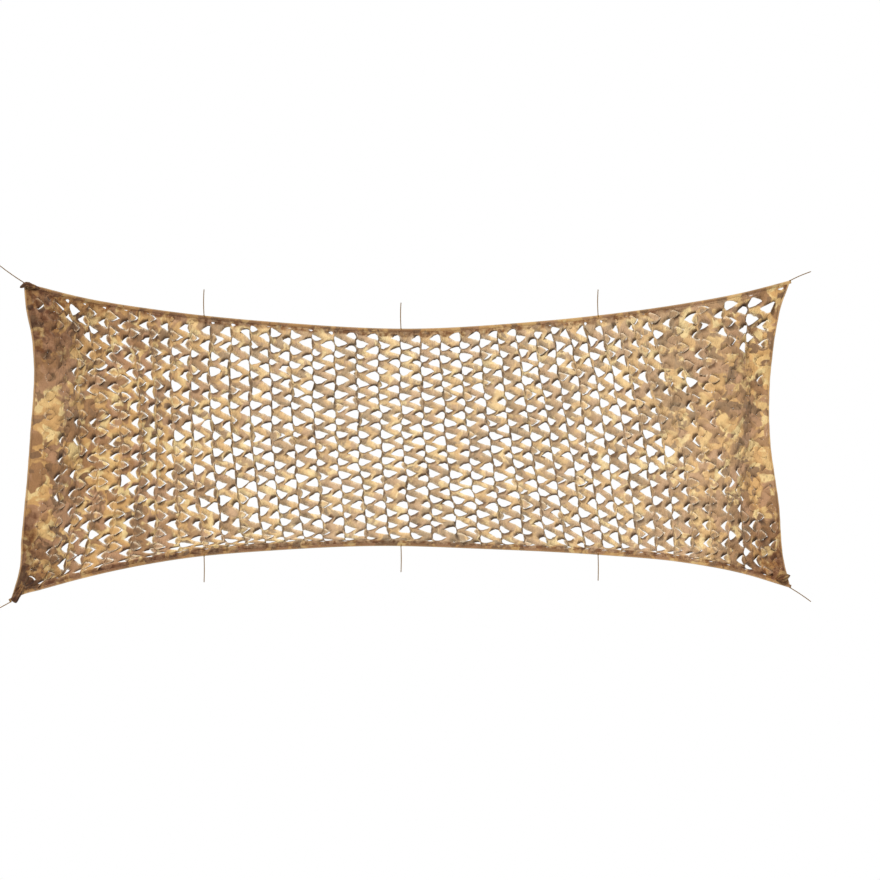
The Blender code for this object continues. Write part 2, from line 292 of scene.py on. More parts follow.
def rope_surface(path, diameter, closed=False, melted=0.0):
    """Points round a path. The radius is half the diameter, less a share that falls to nothing on the ridge
    of each strand, where the strands turn once in each lay length. The strands melt together over the last
    stretch of an open rope, and both its ends round off. A closed rope's lay is stretched to meet itself."""
    run = run_along(path)
    if closed:
        whole = run[-1] + np.linalg.norm(path[0] - path[-1])
        run = run * max(1.0, round(whole / LAY_LENGTH)) * LAY_LENGTH / whole
    around = np.linspace(0.0, 2.0 * math.pi, ROPE_SIDES, endpoint=False)
    turn = around[None, :] - 2.0 * math.pi * run[:, None] / LAY_LENGTH
    ridge = np.abs(np.cos(0.5 * STRANDS * turn))
    laid = np.clip((run[-1] - run) / melted, 0.0, 1.0)[:, None] if melted else 1.0
    radius = 0.5 * diameter * (1.0 - STRAND_DEPTH * laid * (1.0 - ridge) ** GROOVE_SHARPNESS)
    if not closed:
        from_end = np.minimum(run, run[-1] - run) / (0.5 * diameter)
        past_dome = 1.0 - np.clip(from_end, 0.0, 1.0)
        radius = radius * np.sqrt(np.clip(1.0 - past_dome**2, CLOSED_END, 1.0))[:, None]
    first, second = turned_frames(path)
    ring = np.cos(around)[None, :, None] * first[:, None] + np.sin(around)[None, :, None] * second[:, None]
    flat = np.stack(np.broadcast_arrays(around[None, :] * 0.5 * diameter, run[:, None]), axis=-1)
    return path[:, None] + radius[..., None] * ring, flat.reshape(-1, 2), run


def even_steps(path, step):
    """The same path with its points an even step apart."""
    run = run_along(path)
    at = np.linspace(0.0, run[-1], max(4, int(round(run[-1] / step))) + 1)
    return np.stack([np.interp(at, run, path[:, axis]) for axis in range(3)], axis=1)


print("strand ridge", round(0.5 * TIE_DIAMETER * STRAND_DEPTH * 1000.0, 2), "mm deep")

# %% Where each tie runs
LONG_TAPE_WIDTH = 0.030
SHORT_TAPE_WIDTH = 0.018
CORNER_TIES = (
    ("tie_corner_top_left", -4.165, 0.420, -0.271, 0.170),
    ("tie_corner_top_right", 4.165, 0.485, 0.228, 0.086),
    ("tie_corner_bottom_left", -4.310, -2.600, -0.229, -0.101),
    ("tie_corner_bottom_right", 4.165, -2.507, 0.228, -0.134),
)
EDGE_TIE_X = (-2.250, -0.127, 2.028)
EDGE_TIE_LENGTH = 0.250


def tie_path(foot, reach):
    """A cord's line from its foot: straight along its reach, with a sideways bow of half a sine."""
    length = math.hypot(reach[0], reach[1])
    along = np.array((reach[0] / length, reach[1] / length))
    part = np.linspace(0.0, 1.0, TIE_POINTS)
    side = TIE_BOW * np.sin(math.pi * part)
    run = GAP + part * length
    x = foot[0] + along[0] * run - along[1] * side
    z = foot[2] + along[1] * run + along[0] * side
    return np.stack([x, foot[1] + 0.5 * side, z], axis=1)


tie_routes = []
for name, x, z, reach_x, reach_z in CORNER_TIES:
    tie_routes.append((name, (x, float(relief(x, z)), z), (reach_x, reach_z)))
for side, edge, way in (("top", TOP_EDGE, 1.0), ("bottom", BOTTOM_EDGE, -1.0)):
    for number, x in enumerate(EDGE_TIE_X, start=1):
        z = float(smooth(edge, x))
        tie_routes.append((f"tie_{side}_{number}", (x, float(relief(x, z)), z), (0.0, way * EDGE_TIE_LENGTH)))
print(len(tie_routes), "ties")

# %% The hitch at a tie's foot
HITCH_OUT = 0.0095
HITCH_DEEP = 0.0062
HITCH_POINTS = 26
HITCH_INSET = 0.006
HITCH_THICKNESS = 0.9


def hitch_path(foot, reach):
    """A closed ellipse through the tape: the cosine carries it out and in along the cord, the sine carries
    it forward and back along Y."""
    along = np.array((reach[0], 0.0, reach[1])) / math.hypot(*reach)
    angle = np.linspace(0.0, 2.0 * math.pi, HITCH_POINTS)
    middle = np.array(foot) - HITCH_INSET * along
    out_and_in = HITCH_OUT * np.cos(angle)[:, None] * along
    to_and_fro = HITCH_DEEP * np.sin(angle)[:, None] * Y_AXIS
    return middle + out_and_in + to_and_fro


def make_hitch(name, foot, reach):
    """The rope surface round the ellipse, closed on itself by a last row of quads."""
    path = hitch_path(foot, reach)[:-1]
    surface, flat, _ = rope_surface(path, HITCH_THICKNESS * TIE_DIAMETER, closed=True)
    rings = len(surface)
    first = np.arange(ROPE_SIDES)
    last = (rings - 1) * ROPE_SIDES + first
    join = np.stack([last, first, np.roll(first, -1), np.roll(last, -1)], axis=-1)
    faces = np.concatenate([wall_quads(rings, ROPE_SIDES), join])[:, ::-1]
    marks = {"melted": np.zeros(rings * ROPE_SIDES)}
    hitch = make_piece(name + "_hitch", surface.reshape(-1, 3), [faces], flat, marks)
    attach(hitch, "root")
    return hitch


print("a hitch passes", round(HITCH_DEEP * 2000.0, 1), "mm from front to back")

# %% Make the ties
MELTED_END = 0.012
ties = []
hitches = []
for name, foot, reach in tie_routes:
    path = even_steps(tie_path(foot, reach), ROPE_STEP)
    surface, flat, run = rope_surface(path, TIE_DIAMETER, melted=MELTED_END)
    marks = {"melted": np.repeat(np.clip(1.0 - (run[-1] - run) / MELTED_END, 0.0, 1.0), ROPE_SIDES)}
    faces = tube_faces(len(path), ROPE_SIDES)
    rope = make_piece(name + "_rope", surface.reshape(-1, 3), faces, flat, marks)
    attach(rope, "root")
    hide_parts(name)
    hitch = make_hitch(name, foot, reach)
    ties.append(rope)
    hitches.append(hitch)

# %% [markdown]
# ## The cut pattern
#
# The cloth is cut in arcs. In one row every arc opens to the right, and half a row lower every arc opens to
# the left, so each leaf hangs from the same upright hinge line as its neighbour from the other row. Drawn
# flat, one gap and the cloth round it fill a six-sided tile, and the tiles fit like bricks. A Boolean could
# cut each gap, but over a thousand cuts are slow and leave long thin triangles. Here one tile is drawn
# once, as shares of a column and of a row, and all tiles are worked out together.

# %% Where a point of the pattern hangs
ROWS = 16
FIRST_PERIOD = -18
PERIODS = 37
MIDDLE_ROW = 7.5
TOP_HEM = 0.064
TOP_SQUEEZE = 0.018
# (column, height of the lower hem line over the edge, how softly the rows below it are squeezed)
LOWER_HEM = (
    (-18.60, 0.104, 0.060), (-15.00, 0.150, 0.110), (-11.00, 0.236, 0.195), (-6.50, 0.226, 0.185),
    (-3.00, 0.126, 0.085), (2.00, 0.088, 0.050), (8.00, 0.108, 0.065), (12.00, 0.157, 0.115),
    (16.00, 0.132, 0.090), (19.30, 0.096, 0.050),
)
# The open pattern ends this share of the squeeze past each hem line, and fades out over this reach
TOP_ROOM = 0.3
LOWER_ROOM = 0.9
ROOM_REACH = 0.030
# The slow and the quick wander of the pattern, in columns and in rows
COLUMN_WANDER = (0.07, 0.030)
ROW_WANDER = (0.08, 0.035)
# (column, height of the middle row, height of one row)
ROW_LINES = (
    (-18.60, -1.010, 0.1800), (-16.00, -0.995, 0.1660), (-13.75, -0.988, 0.1570), (-9.75, -1.026, 0.1560),
    (-5.75, -1.016, 0.1390), (0.25, -1.016, 0.1220), (6.25, -1.030, 0.1350), (10.25, -1.025, 0.1550),
    (14.25, -1.006, 0.1610), (16.50, -0.970, 0.1690), (19.30, -0.925, 0.1800),
)


def wander(column, row, first, second, pace=1.0):
    """An unevenness of the pattern, from -1 to 1: the mean of three sine waves that cross each other. A
    higher pace makes it change from tile to tile."""
    column, row = pace * column, pace * row
    waves = np.sin(0.83 * column + 1.31 * row + first) + np.sin(1.57 * column - 0.71 * row + second)
    return (waves + np.sin(0.41 * column + 2.37 * row + 2.0 * first)) / 3.0


def pattern_place(column, row):
    """x and z of a point of the pattern. x follows its column and z counts rows from the middle one, both
    loosened by a slow wander and a quick one. Past a hem line, z goes on by the squeeze times one minus an
    exponential, so the rest of the pattern is pressed together there. The third result is 1 in the open
    pattern and falls to 0 at the hems."""
    loose_column = column + COLUMN_WANDER[0] * wander(column, row, 0.4, 2.2)
    loose_column = loose_column + COLUMN_WANDER[1] * wander(column, row, 1.3, 4.1, 3.7)
    loose_row = row + ROW_WANDER[0] * wander(column, row, 3.1, 5.0)
    loose_row = loose_row + ROW_WANDER[1] * wander(column, row, 5.2, 0.6, 3.1)
    x = column_x(loose_column, np.clip(loose_row / ROWS, 0.0, 1.0))
    z = smooth(ROW_LINES, column, 1) - (loose_row - MIDDLE_ROW) * smooth(ROW_LINES, column, 2)
    upper = smooth(TOP_EDGE, x) - TOP_HEM
    lower = smooth(BOTTOM_EDGE, x) + smooth(LOWER_HEM, column, 1)
    squeeze = smooth(LOWER_HEM, column, 2)
    over = np.maximum(z - upper, 0.0)
    under = np.maximum(lower - z, 0.0)
    z = z - over + TOP_SQUEEZE * (1.0 - np.exp(-over / TOP_SQUEEZE))
    z = z + under - squeeze * (1.0 - np.exp(-under / squeeze))
    room = np.minimum(upper + TOP_ROOM * TOP_SQUEEZE - z, z - lower + LOWER_ROOM * squeeze)
    return x, z, np.clip(room / ROOM_REACH, 0.0, 1.0)


x, z, room = pattern_place(np.array([0.25, 0.25]), np.array([7.5, 8.5]))
print("a row in the middle is", round(float(z[0] - z[1]) * 1000.0), "mm high")

# %% One tile
# Its outline, from the upper end of the hinge side, down, and round to the right. Each point is a share of
# a column and a share of a row
TILE_OUTLINE = (
    (0.110, -0.50), (0.000, -0.25), (-0.110, 0.00), (0.000, 0.25), (0.110, 0.50),
    (0.170, 0.50), (0.265, 0.50), (0.360, 0.50), (0.500, 0.25), (0.640, 0.00),
    (0.500, -0.25), (0.360, -0.50), (0.265, -0.50), (0.170, -0.50),
)
# The rim of a gap that stands open, and of one that its leaf still covers
OPEN_RIM = (
    (0.042, -0.27), (-0.026, -0.14), (-0.088, 0.00), (-0.026, 0.14), (0.042, 0.27),
    (0.115, 0.312), (0.235, 0.272), (0.350, 0.195), (0.460, 0.108), (0.565, 0.00),
    (0.460, -0.108), (0.350, -0.195), (0.235, -0.272), (0.115, -0.312),
)
COVERED_RIM = (
    (0.045, -0.25), (-0.018, -0.13), (-0.060, 0.00), (-0.018, 0.13), (0.045, 0.25),
    (0.095, 0.285), (0.180, 0.245), (0.265, 0.175), (0.345, 0.090), (0.415, 0.00),
    (0.345, -0.090), (0.265, -0.175), (0.180, -0.245), (0.095, -0.285),
)
HINGE_POINTS = 5
GAP_TIP = 9
MIRROR_SPAN = 1.00
# The leaf: how far along it each line of points lies, and half its width there, as a share of its full width
LEAF_LINES = ((0.0, 0.0), (0.34, 0.310), (0.68, 0.195), (1.00, 0.050))
# The longest that a turned leaf can be, and a leaf's length as a share of its cut, first in a shut gap and
# then in an open one
LEAF_LENGTH = 0.078
FLAT_LEAF_REACH = 1.02
OPEN_LEAF_REACH = 0.66
LEAF_TIP_ROUND = 0.05


def area_of(outline):
    """The area inside a closed outline, by the shoelace formula."""
    x, y = np.array(outline).T
    return 0.5 * abs(float(np.dot(x, np.roll(y, -1)) - np.dot(y, np.roll(x, -1))))


print("an open gap takes", round(area_of(OPEN_RIM) / area_of(TILE_OUTLINE), 2), "of its tile")

# %% How far each gap stands open
# (column, share of the right-pointing leaves that are turned, turn of the left-pointing ones, how wide the
# gaps are)
TURN_AND_GAPE = (
    (-18.60, 0.00, 0.06, 0.05), (-17.50, 0.00, 0.08, 0.15), (-16.50, 0.01, 0.12, 0.28),
    (-15.20, 0.03, 0.20, 0.46), (-13.50, 0.08, 0.38, 0.70), (-11.00, 0.14, 0.56, 0.88),
    (-9.80, 0.42, 0.66, 0.92), (-8.50, 0.74, 0.78, 0.98), (-5.00, 0.90, 0.92, 1.00),
    (-1.00, 0.97, 1.00, 1.00), (3.00, 0.95, 0.98, 1.00), (6.00, 0.84, 0.88, 0.97), (10.00, 0.72, 0.76, 0.93),
    (12.00, 0.55, 0.62, 0.84), (13.50, 0.32, 0.50, 0.60), (14.80, 0.12, 0.28, 0.32),
    (16.00, 0.04, 0.15, 0.18), (17.00, 0.01, 0.10, 0.10), (19.30, 0.00, 0.06, 0.00),
)
# (x, z, reach, more turn, more gape) where the cloth is pulled open near the corners
PULLED_OPEN = (
    (3.740, 0.190, 0.33, 0.90, 1.00),
    (3.300, 0.080, 0.40, 0.30, 0.30),
    (3.720, -2.100, 0.26, 0.40, 0.75),
    (-3.700, 0.180, 0.36, 0.16, 0.34),
    (-3.380, -0.080, 0.20, 0.35, 0.30),
    (-3.520, -1.980, 0.17, 0.45, 0.60),
    (-3.700, -2.220, 0.20, 0.45, 0.60),
)
# (x, z, reach along x, reach along z) where the cuts lie shut and the cloth hangs plain
LAID_SHUT = (
    (-3.95, -0.50, 0.26, 0.75), (-4.05, -1.60, 0.14, 0.60), (2.90, -0.85, 0.14, 0.30),
    (3.86, -1.35, 0.16, 0.45), (3.66, -0.85, 0.15, 0.85), (3.45, -0.75, 0.14, 0.40),
)
TURNED = math.radians(60.0)
CURL = math.radians(22.0)


def turn_and_gape(column, x, z, way):
    """Both shares for a gap: the table by column, plus a bell curve round each pulled-open place."""
    turn = np.where(way > 0, smooth(TURN_AND_GAPE, column, 1), smooth(TURN_AND_GAPE, column, 2))
    gape = smooth(TURN_AND_GAPE, column, 3)
    for place_x, place_z, reach, more_turn, more_gape in PULLED_OPEN:
        near = np.exp(-((x - place_x) ** 2 + (z - place_z) ** 2) / reach**2)
        turn = turn + more_turn * near
        gape = gape + more_gape * near
    return np.clip(turn, 0.0, 1.0), np.clip(gape, 0.0, 1.0)


print("a leaf in the middle turns", round(math.degrees(TURNED)), "degrees")

# %% All tiles at once
# A cut may lie shut by chance, more often where the gaps are narrow, and nearly always in the places above
SHUT_BY_CHANCE = 0.30
SHUT_UP_TO = 1.6
RIGHT_GAP_MIDDLE = 0.25
LEFT_GAP_MIDDLE = 0.73
PRESSED_ROOM = 0.6
STANDS_OPEN = 0.3
rng = np.random.default_rng(833297)


def tile_numbers():
    """The period, the middle row and the way each tile points: 1 for right, -1 for left."""
    periods = FIRST_PERIOD + np.arange(PERIODS)
    right = np.stack(np.meshgrid(periods, np.arange(ROWS) + 0.5, indexing="ij"), axis=-1).reshape(-1, 2)
    left = np.stack(np.meshgrid(periods, np.arange(ROWS + 1.0), indexing="ij"), axis=-1).reshape(-1, 2)
    way = np.concatenate([np.ones(len(right)), -np.ones(len(left))])
    both = np.concatenate([right, left])
    return both[:, 0], both[:, 1], way


def on_tiles(shape, period, row, way):
    """Column and row of a template's points on every tile, mirrored where the tile points left."""
    share = np.where(way[:, None] > 0, shape[..., 0], MIRROR_SPAN - shape[..., 0])
    return period[:, None] + share, row[:, None] + shape[..., 1]


period, tile_row, way = tile_numbers()
tiles = len(period)
gap_middle = period + np.where(way > 0, RIGHT_GAP_MIDDLE, LEFT_GAP_MIDDLE)
middle_x, middle_z, tile_room = pattern_place(gap_middle, tile_row)
turn, gape = turn_and_gape(period + 0.5, middle_x, middle_z, way)
shut_chance = SHUT_BY_CHANCE * np.clip(1.0 - SHUT_UP_TO * gape, 0.0, 1.0)
for place_x, place_z, reach_x, reach_z in LAID_SHUT:
    away_x = (middle_x - place_x) / reach_x
    away_z = (middle_z - place_z) / reach_z
    shut_chance = shut_chance + np.exp(-(away_x**4) - away_z**4)
# Where the rows are pressed together, no gap stands open under the top hem, and only some do by the lower one
upper_half = tile_row < MIDDLE_ROW
by_turns = wander(period, tile_row, 2.6, 1.1, 3.1) > 0.0
squeezed_away = (tile_room < PRESSED_ROOM) & (upper_half | by_turns)
shut = (rng.random(tiles) < shut_chance) | squeezed_away
turn = np.where(shut, 0.0, turn)
gape = np.where(shut, 0.0, gape)
print(tiles, "tiles,", int((gape > STANDS_OPEN).sum()), "of them stand open")

# %% [markdown]
# ## Web and leaves
#
# The ribbons between the gaps share their points, so the cloth is one connected sheet. Along a hinge line
# the cloth turns like a row of small plates: the leaf on one side swings back and the leaf on the other
# side swings forward. In the middle, where the pull is strongest, the leaves stand almost edge-on. Towards
# the ends they lie flatter, and cover most of their gaps.
#
# The pull runs a little aslant, so an open gap leans towards one neighbour: the ribbons that climb to the
# right turn thin, and the ones that fall to the right stay wide. Each leaf is a strip bent through an arc,
# so its depth and its reach are integrals of sine and cosine along it, worked out in closed form. A cloth
# simulation would find all of this too, but slowly, and never the same way twice.

# %% Ribbons between the gaps
RIPPLE = 0.015
RIPPLE_LOST = 0.6
CRUMPLE = 0.0035
BUNCHED_CRUMPLE = 0.0060
CRUMPLE_WAVES = 1.7


def how_bunched(column):
    """From 0 where the gaps of a column stand wide open to 1 where they are shut."""
    return 1.0 - np.clip(smooth(TURN_AND_GAPE, column, 3), 0.0, 1.0)


def sheet_depth(column, row, x, z, room):
    """How far back the fine cloth hangs: the main folds, a ripple that turns the cloth like plates about the
    hinge lines, and a slow crumple of three crossing sines that grows where the gaps are closed."""
    bunched = how_bunched(column)
    ripple = RIPPLE * (1.0 - RIPPLE_LOST * bunched) * np.sin(2.0 * math.pi * column)
    slow = np.sin(2.9 * column + 1.7 * row) + np.sin(4.3 * column - 2.6 * row + 1.0)
    slow = slow + np.sin(1.9 * column + 3.9 * row + 2.0)
    return relief(x, z) + room * (ripple + (CRUMPLE + BUNCHED_CRUMPLE * bunched) * slow / CRUMPLE_WAVES)


x, z, room = pattern_place(np.linspace(-0.5, 0.5, 41), np.full(41, MIDDLE_ROW))
depth = sheet_depth(np.linspace(-0.5, 0.5, 41), np.full(41, MIDDLE_ROW), x, z, room)
print("over one column the cloth ripples by", round(float(np.ptp(depth)) * 1000.0), "mm")

# %% Points that the tiles share
SHAKE = 0.018
CROWN = 0.0080
CROWN_SCATTER = 0.0015
BUNCHED_SCATTER = 0.0045


def place_key(column, row):
    """One whole number for a place of the pattern, the same from whichever tile it is reached."""
    across = np.round(np.asarray(column) * 1000.0).astype(np.int64)
    return across * 100000 + np.round(np.asarray(row) * 100.0).astype(np.int64)


def jitter(*shape):
    """Random numbers on a bell curve round 0, cut off at 2."""
    return np.clip(rng.normal(size=shape), -2.0, 2.0)


outline = np.array(TILE_OUTLINE)[None]
column, row = on_tiles(np.repeat(outline, tiles, axis=0), period, tile_row, way)
key = place_key(column, row)
web_key, first_seen, web_corner = np.unique(key.ravel(), return_index=True, return_inverse=True)
web_corner = web_corner.reshape(key.shape)
web_column = column.ravel()[first_seen]
web_row = row.ravel()[first_seen]
shake = SHAKE * jitter(2, len(web_key))
web_x, web_z, web_room = pattern_place(web_column + shake[0], web_row + shake[1])
web_bunched = how_bunched(web_column)
scatter = (CROWN_SCATTER + BUNCHED_SCATTER * web_bunched) * rng.normal(size=len(web_key))
web_y = sheet_depth(web_column, web_row, web_x, web_z, web_room) - web_room * (CROWN - scatter)
print(len(web_key), "shared points")

# %% Outlines of the gaps
# A gap's size as a share of its template, how much that varies, and its limits. It is smaller near a hem
GAP_SIZE = 0.905
SIZE_SCATTER = 0.12
SIZE_LIMITS = (0.64, 1.12)
HEM_GAP_SIZE = 0.40
# How much a gap's opening varies, with more for the narrow ones, and how much its rim skews
SPREAD_SCATTER = 0.08
NARROW_SCATTER = 0.14
SKEW = 0.10
# How far the knife errs at each point, less across than down, and with a whole cut
POINT_ERROR = 0.020
POINT_ERROR_SHARES = (0.7, 1.0)
CUT_ERROR = 0.016
SIZED_FROM = 0.02
# Gaps lean where they stand wide open. The lean comes in and goes out along the gap by these shares
WIDE_FROM = 0.84
WIDE_OVER = 0.14
LEAN = 0.065
LEAN_ALONG = ((0.04, 0.13, 0.36, 0.56), (0.0, 1.0, 1.0, 0.4))

size = np.clip(GAP_SIZE + SIZE_SCATTER * rng.normal(size=tiles), *SIZE_LIMITS)
size = size * (HEM_GAP_SIZE + (1.0 - HEM_GAP_SIZE) * tile_room)
scatter = SPREAD_SCATTER + NARROW_SCATTER * np.clip(1.2 - gape, 0.0, 1.0)
spread = np.clip(gape + scatter * rng.normal(size=tiles), 0.0, 1.0) * tile_room
skew = SKEW * rng.normal(size=tiles)
opened = spread[:, None, None]
rim = np.array(COVERED_RIM)[None] * (1.0 - opened) + np.array(OPEN_RIM)[None] * opened
rim = rim + POINT_ERROR * opened * jitter(*rim.shape) * np.array(POINT_ERROR_SHARES)
rim = rim + CUT_ERROR * tile_room[:, None, None] * jitter(tiles, 1, 2)
rim[..., 0] = SIZED_FROM + (rim[..., 0] - SIZED_FROM) * size[:, None]
rim[..., 1] = rim[..., 1] * size[:, None] + skew[:, None] * rim[..., 0] * spread[:, None]
wide_open = np.clip((gape - WIDE_FROM) / WIDE_OVER, 0.0, 1.0)
leaning = tile_room * wide_open
lean_here = np.interp(rim[..., 0], *LEAN_ALONG)
rim[..., 1] = rim[..., 1] + LEAN * (way * leaning)[:, None] * lean_here
print("a gap is", round(float(size.mean()), 2), "of its template on average")

# %% Rims of the gaps
# The ribbons twist, so a gap's upper rim and its lower rim lie at different depths. The thin ribbons that the
# lean leaves twist most
TWIST = 0.0050
TWIST_OFFSET = 0.1
TWIST_ROWS = 0.33
LEAN_TWIST = 0.010
THIN_ROWS = 0.20
rim_column, rim_row = on_tiles(rim, period, tile_row, way)
rim_x, rim_z, rim_room = pattern_place(rim_column, rim_row)
rim_y = sheet_depth(rim_column, rim_row, rim_x, rim_z, rim_room)
below_middle = rim_row - tile_row[:, None]
ribbon_twist = TWIST * (rng.normal(size=tiles) - TWIST_OFFSET)
rim_y = rim_y - ribbon_twist[:, None] * rim_room * np.clip(below_middle / TWIST_ROWS, -1.0, 1.0)
towards_thin = np.clip(way[:, None] * below_middle / THIN_ROWS, 0.0, 1.0)
thin_twist = LEAN_TWIST * (way * (0.3 + 0.7 * leaning))[:, None]
rim_y = rim_y - thin_twist * rim_room * towards_thin * (lean_here > 0.1)
rim_points = np.stack([rim_x, rim_y, rim_z], axis=-1)
print("rim points", rim_points.shape)

# %% The hinge of each leaf
def unit(vectors):
    """Vectors made one unit long."""
    return vectors / np.linalg.norm(vectors, axis=-1, keepdims=True)


hinge = rim_points[:, :HINGE_POINTS]
hinge_middle = hinge.mean(axis=1)
down_hinge = unit(hinge[:, -1] - hinge[:, 0])
across = unit(rim_points[:, GAP_TIP] - hinge[:, 2])
backwards = unit(np.cross(across, down_hinge)) * way[:, None]
cut_length = np.linalg.norm(rim_points[:, GAP_TIP] - hinge[:, 2], axis=1)
hinge_length = np.linalg.norm(hinge[:, -1] - hinge[:, 0], axis=1)
print("hinges are", round(float(hinge_length.mean()) * 1000.0), "mm long on average")

# %% How far each leaf turns
# A right-pointing leaf either lies flat or swings back, and a left-pointing one swings forward by its turn.
# Where the cloth is bunched most leaves lie loosely on its front, each a little askew. One leaf in ten is
# lazy and hardly turns. A leaf that is turned far is drawn straight, and curls less.
FORWARD_SHARE = 0.6
MORE_FORWARD = 0.2
TURN_SCATTER = 0.10
LOOSE_TURN = 0.05
BUNCHED_TURN = 0.26
LAZY_SHARE = 0.10
STRAIGHT_FROM = 0.7
STRAIGHT_OVER = 0.3
bunched = np.clip(1.0 - gape, 0.0, 1.0)
swings = (way < 0) | (rng.random(tiles) < turn)
turn = np.where(way > 0, swings * 1.0, turn)
on_front = (way < 0) | (~swings & (rng.random(tiles) < FORWARD_SHARE + MORE_FORWARD * bunched))
side = np.where(on_front & ~shut, -1.0, 1.0)
amount = turn * np.clip(1.0 + TURN_SCATTER * rng.normal(size=tiles), 0.7, 1.3)
amount = amount + LOOSE_TURN * rng.random(tiles)
lazy = rng.random(tiles) < LAZY_SHARE
amount = np.where(lazy, amount * (0.25 + 0.5 * rng.random(tiles)), amount)
amount = np.where(shut, 0.0, amount + BUNCHED_TURN * bunched * rng.random(tiles) ** 1.5)
stiffened = 1.0 - 0.5 * np.clip((turn - STRAIGHT_FROM) / STRAIGHT_OVER, 0.0, 1.0)
curl = CURL * (0.30 + 0.70 * turn) * stiffened * np.clip(1.0 + 0.3 * rng.normal(size=tiles), 0.3, 1.8)
print(int(lazy.sum()), "leaves are lazy")

# %% How long each leaf is
# A leaf that lies flat covers the gap it was cut from. Where the cloth is stretched, the gap grows longer
# than its leaf. A leaf that would reach past the depth limit is made shorter.
DEPTH_LIMIT = 0.083
DEPTH_ROOM_LIMITS = (0.012, 0.200)
LENGTH_LIMITS = (0.030, 0.150)
LENGTH_SCATTER = 0.06
WIDTH_OVER_HINGE = 1.95
LEAST_TURNED, MOST_TURNED = math.radians(1.0), math.radians(75.0)
STEEP = math.radians(6.0)
leaf_reach = FLAT_LEAF_REACH + (OPEN_LEAF_REACH - FLAT_LEAF_REACH) * gape
flat_length = np.clip(leaf_reach * cut_length, *LENGTH_LIMITS)
leaf_length = flat_length + (np.minimum(LEAF_LENGTH, flat_length) - flat_length) * turn
leaf_length = leaf_length * np.clip(1.0 + LENGTH_SCATTER * rng.normal(size=tiles), 0.85, 1.12)
leaf_width = WIDTH_OVER_HINGE * hinge_length
turned = np.clip(TURNED * amount, 0.0, MOST_TURNED) + LEAST_TURNED
depth_room = np.clip(DEPTH_LIMIT - side * hinge_middle[:, 1], *DEPTH_ROOM_LIMITS)
leaf_length = np.minimum(leaf_length, depth_room / np.sin(np.maximum(turned, STEEP)))
print("leaves are", round(float(leaf_length.mean()) * 1000.0), "mm long on average")

# %% Leaves
# Each leaf also droops down, cups across and rolls about its length, more where the cloth is bunched
DROOP, BUNCHED_DROOP = 0.004, 0.010
CUP = 0.006
ROLL, BUNCHED_ROLL = 0.12, 0.30
SHUT_LOOSENESS = 0.2
LEAF_OFF_CLOTH = 0.002
first_angle = turned - curl
last_angle = turned + curl
looseness = np.where(shut, SHUT_LOOSENESS, 1.0)
droop = looseness * ((DROOP + BUNCHED_DROOP * bunched) * rng.normal(size=tiles))
cup = looseness * (CUP * rng.normal(size=tiles))
roll = looseness * ((ROLL + BUNCHED_ROLL * bunched) * rng.normal(size=tiles))


def leaf_line(along, half_width):
    """One line of five points across every leaf. Along a leaf its angle grows evenly from first to last, so
    its reach is the integral of the cosine and its depth the integral of the sine. The line's ends lag
    behind its middle by a parabola, which rounds the leaf's tip."""
    bend = last_angle - first_angle
    angle = first_angle + bend * along
    reach = leaf_length * (np.sin(angle) - np.sin(first_angle)) / bend
    depth = leaf_length * (np.cos(first_angle) - np.cos(angle)) / bend
    share = np.linspace(-1.0, 1.0, HINGE_POINTS)[None]
    sideways = share * (half_width * leaf_width)[:, None] + (droop * along)[:, None]
    reach = reach[:, None] * (1.0 - LEAF_TIP_ROUND * along**2 * share**2)
    lift = (side * (depth + LEAF_OFF_CLOTH * along))[:, None] + cup[:, None] * (share**2 - 0.5) * along
    lift = lift + along * share * (roll * half_width * leaf_width)[:, None]
    points = hinge_middle[:, None] + down_hinge[:, None] * sideways[..., None]
    return points + across[:, None] * reach[..., None] + backwards[:, None] * lift[..., None]


leaf_lines = [leaf_line(along, width) for along, width in LEAF_LINES[1:]]
tips = leaf_lines[-1][..., 1]
print("leaf tips reach from", round(float(tips.min()), 3), "to", round(float(tips.max()), 3), "m")

# %% [markdown]
# ## One connected cloth
#
# A tile's faces are numbered once: a ring of quads between its outline and the rim of its gap, and a small
# grid for its leaf, which shares its first line with the rim. The tiles that point left are the same
# numbers read backwards, so that every face looks forward. Round the lattice goes an uncut border, whose
# outer line the tapes later cover. Last, Solidify gives the cloth its thickness.

# %% Faces of the tiles
RIM_POINTS = len(OPEN_RIM)
web_count = len(web_key)
web_points = np.stack([web_x, web_y, web_z], axis=-1)
rim_number = web_count + np.arange(tiles * RIM_POINTS).reshape(tiles, RIM_POINTS)
leaf_first = web_count + tiles * RIM_POINTS
leaf_count = HINGE_POINTS * len(leaf_lines)
leaf_number = leaf_first + np.arange(tiles * leaf_count).reshape(tiles, len(leaf_lines), HINGE_POINTS)
# Where a hem presses the rows together, the leaves are sewn away under it
LEAF_ROOM = 0.25

outer_next = np.roll(web_corner, -1, axis=1)
inner_next = np.roll(rim_number, -1, axis=1)
ring = np.stack([web_corner, outer_next, inner_next, rim_number], axis=-1)
lines = np.concatenate([rim_number[:, None, :HINGE_POINTS], leaf_number], axis=1)
leaf = np.stack([lines[:, :-1, :-1], lines[:, :-1, 1:], lines[:, 1:, 1:], lines[:, 1:, :-1]], axis=-1)
leaf = leaf.reshape(tiles, -1, 4)
ring[way < 0] = ring[way < 0][..., ::-1]
leaf[way < 0] = leaf[way < 0][..., ::-1]
leaf = leaf[tile_room > LEAF_ROOM]
print(ring.shape[1], "quads round each gap and", leaf.shape[1], "in each leaf")

# %% The uncut border
BORDER_LINES = 3
UNDER_TAPE = 0.006
KNEE = 0.8


def numbers_of(column, row):
    """The numbers of the shared points at these places of the pattern."""
    return np.searchsorted(web_key, place_key(column, row))


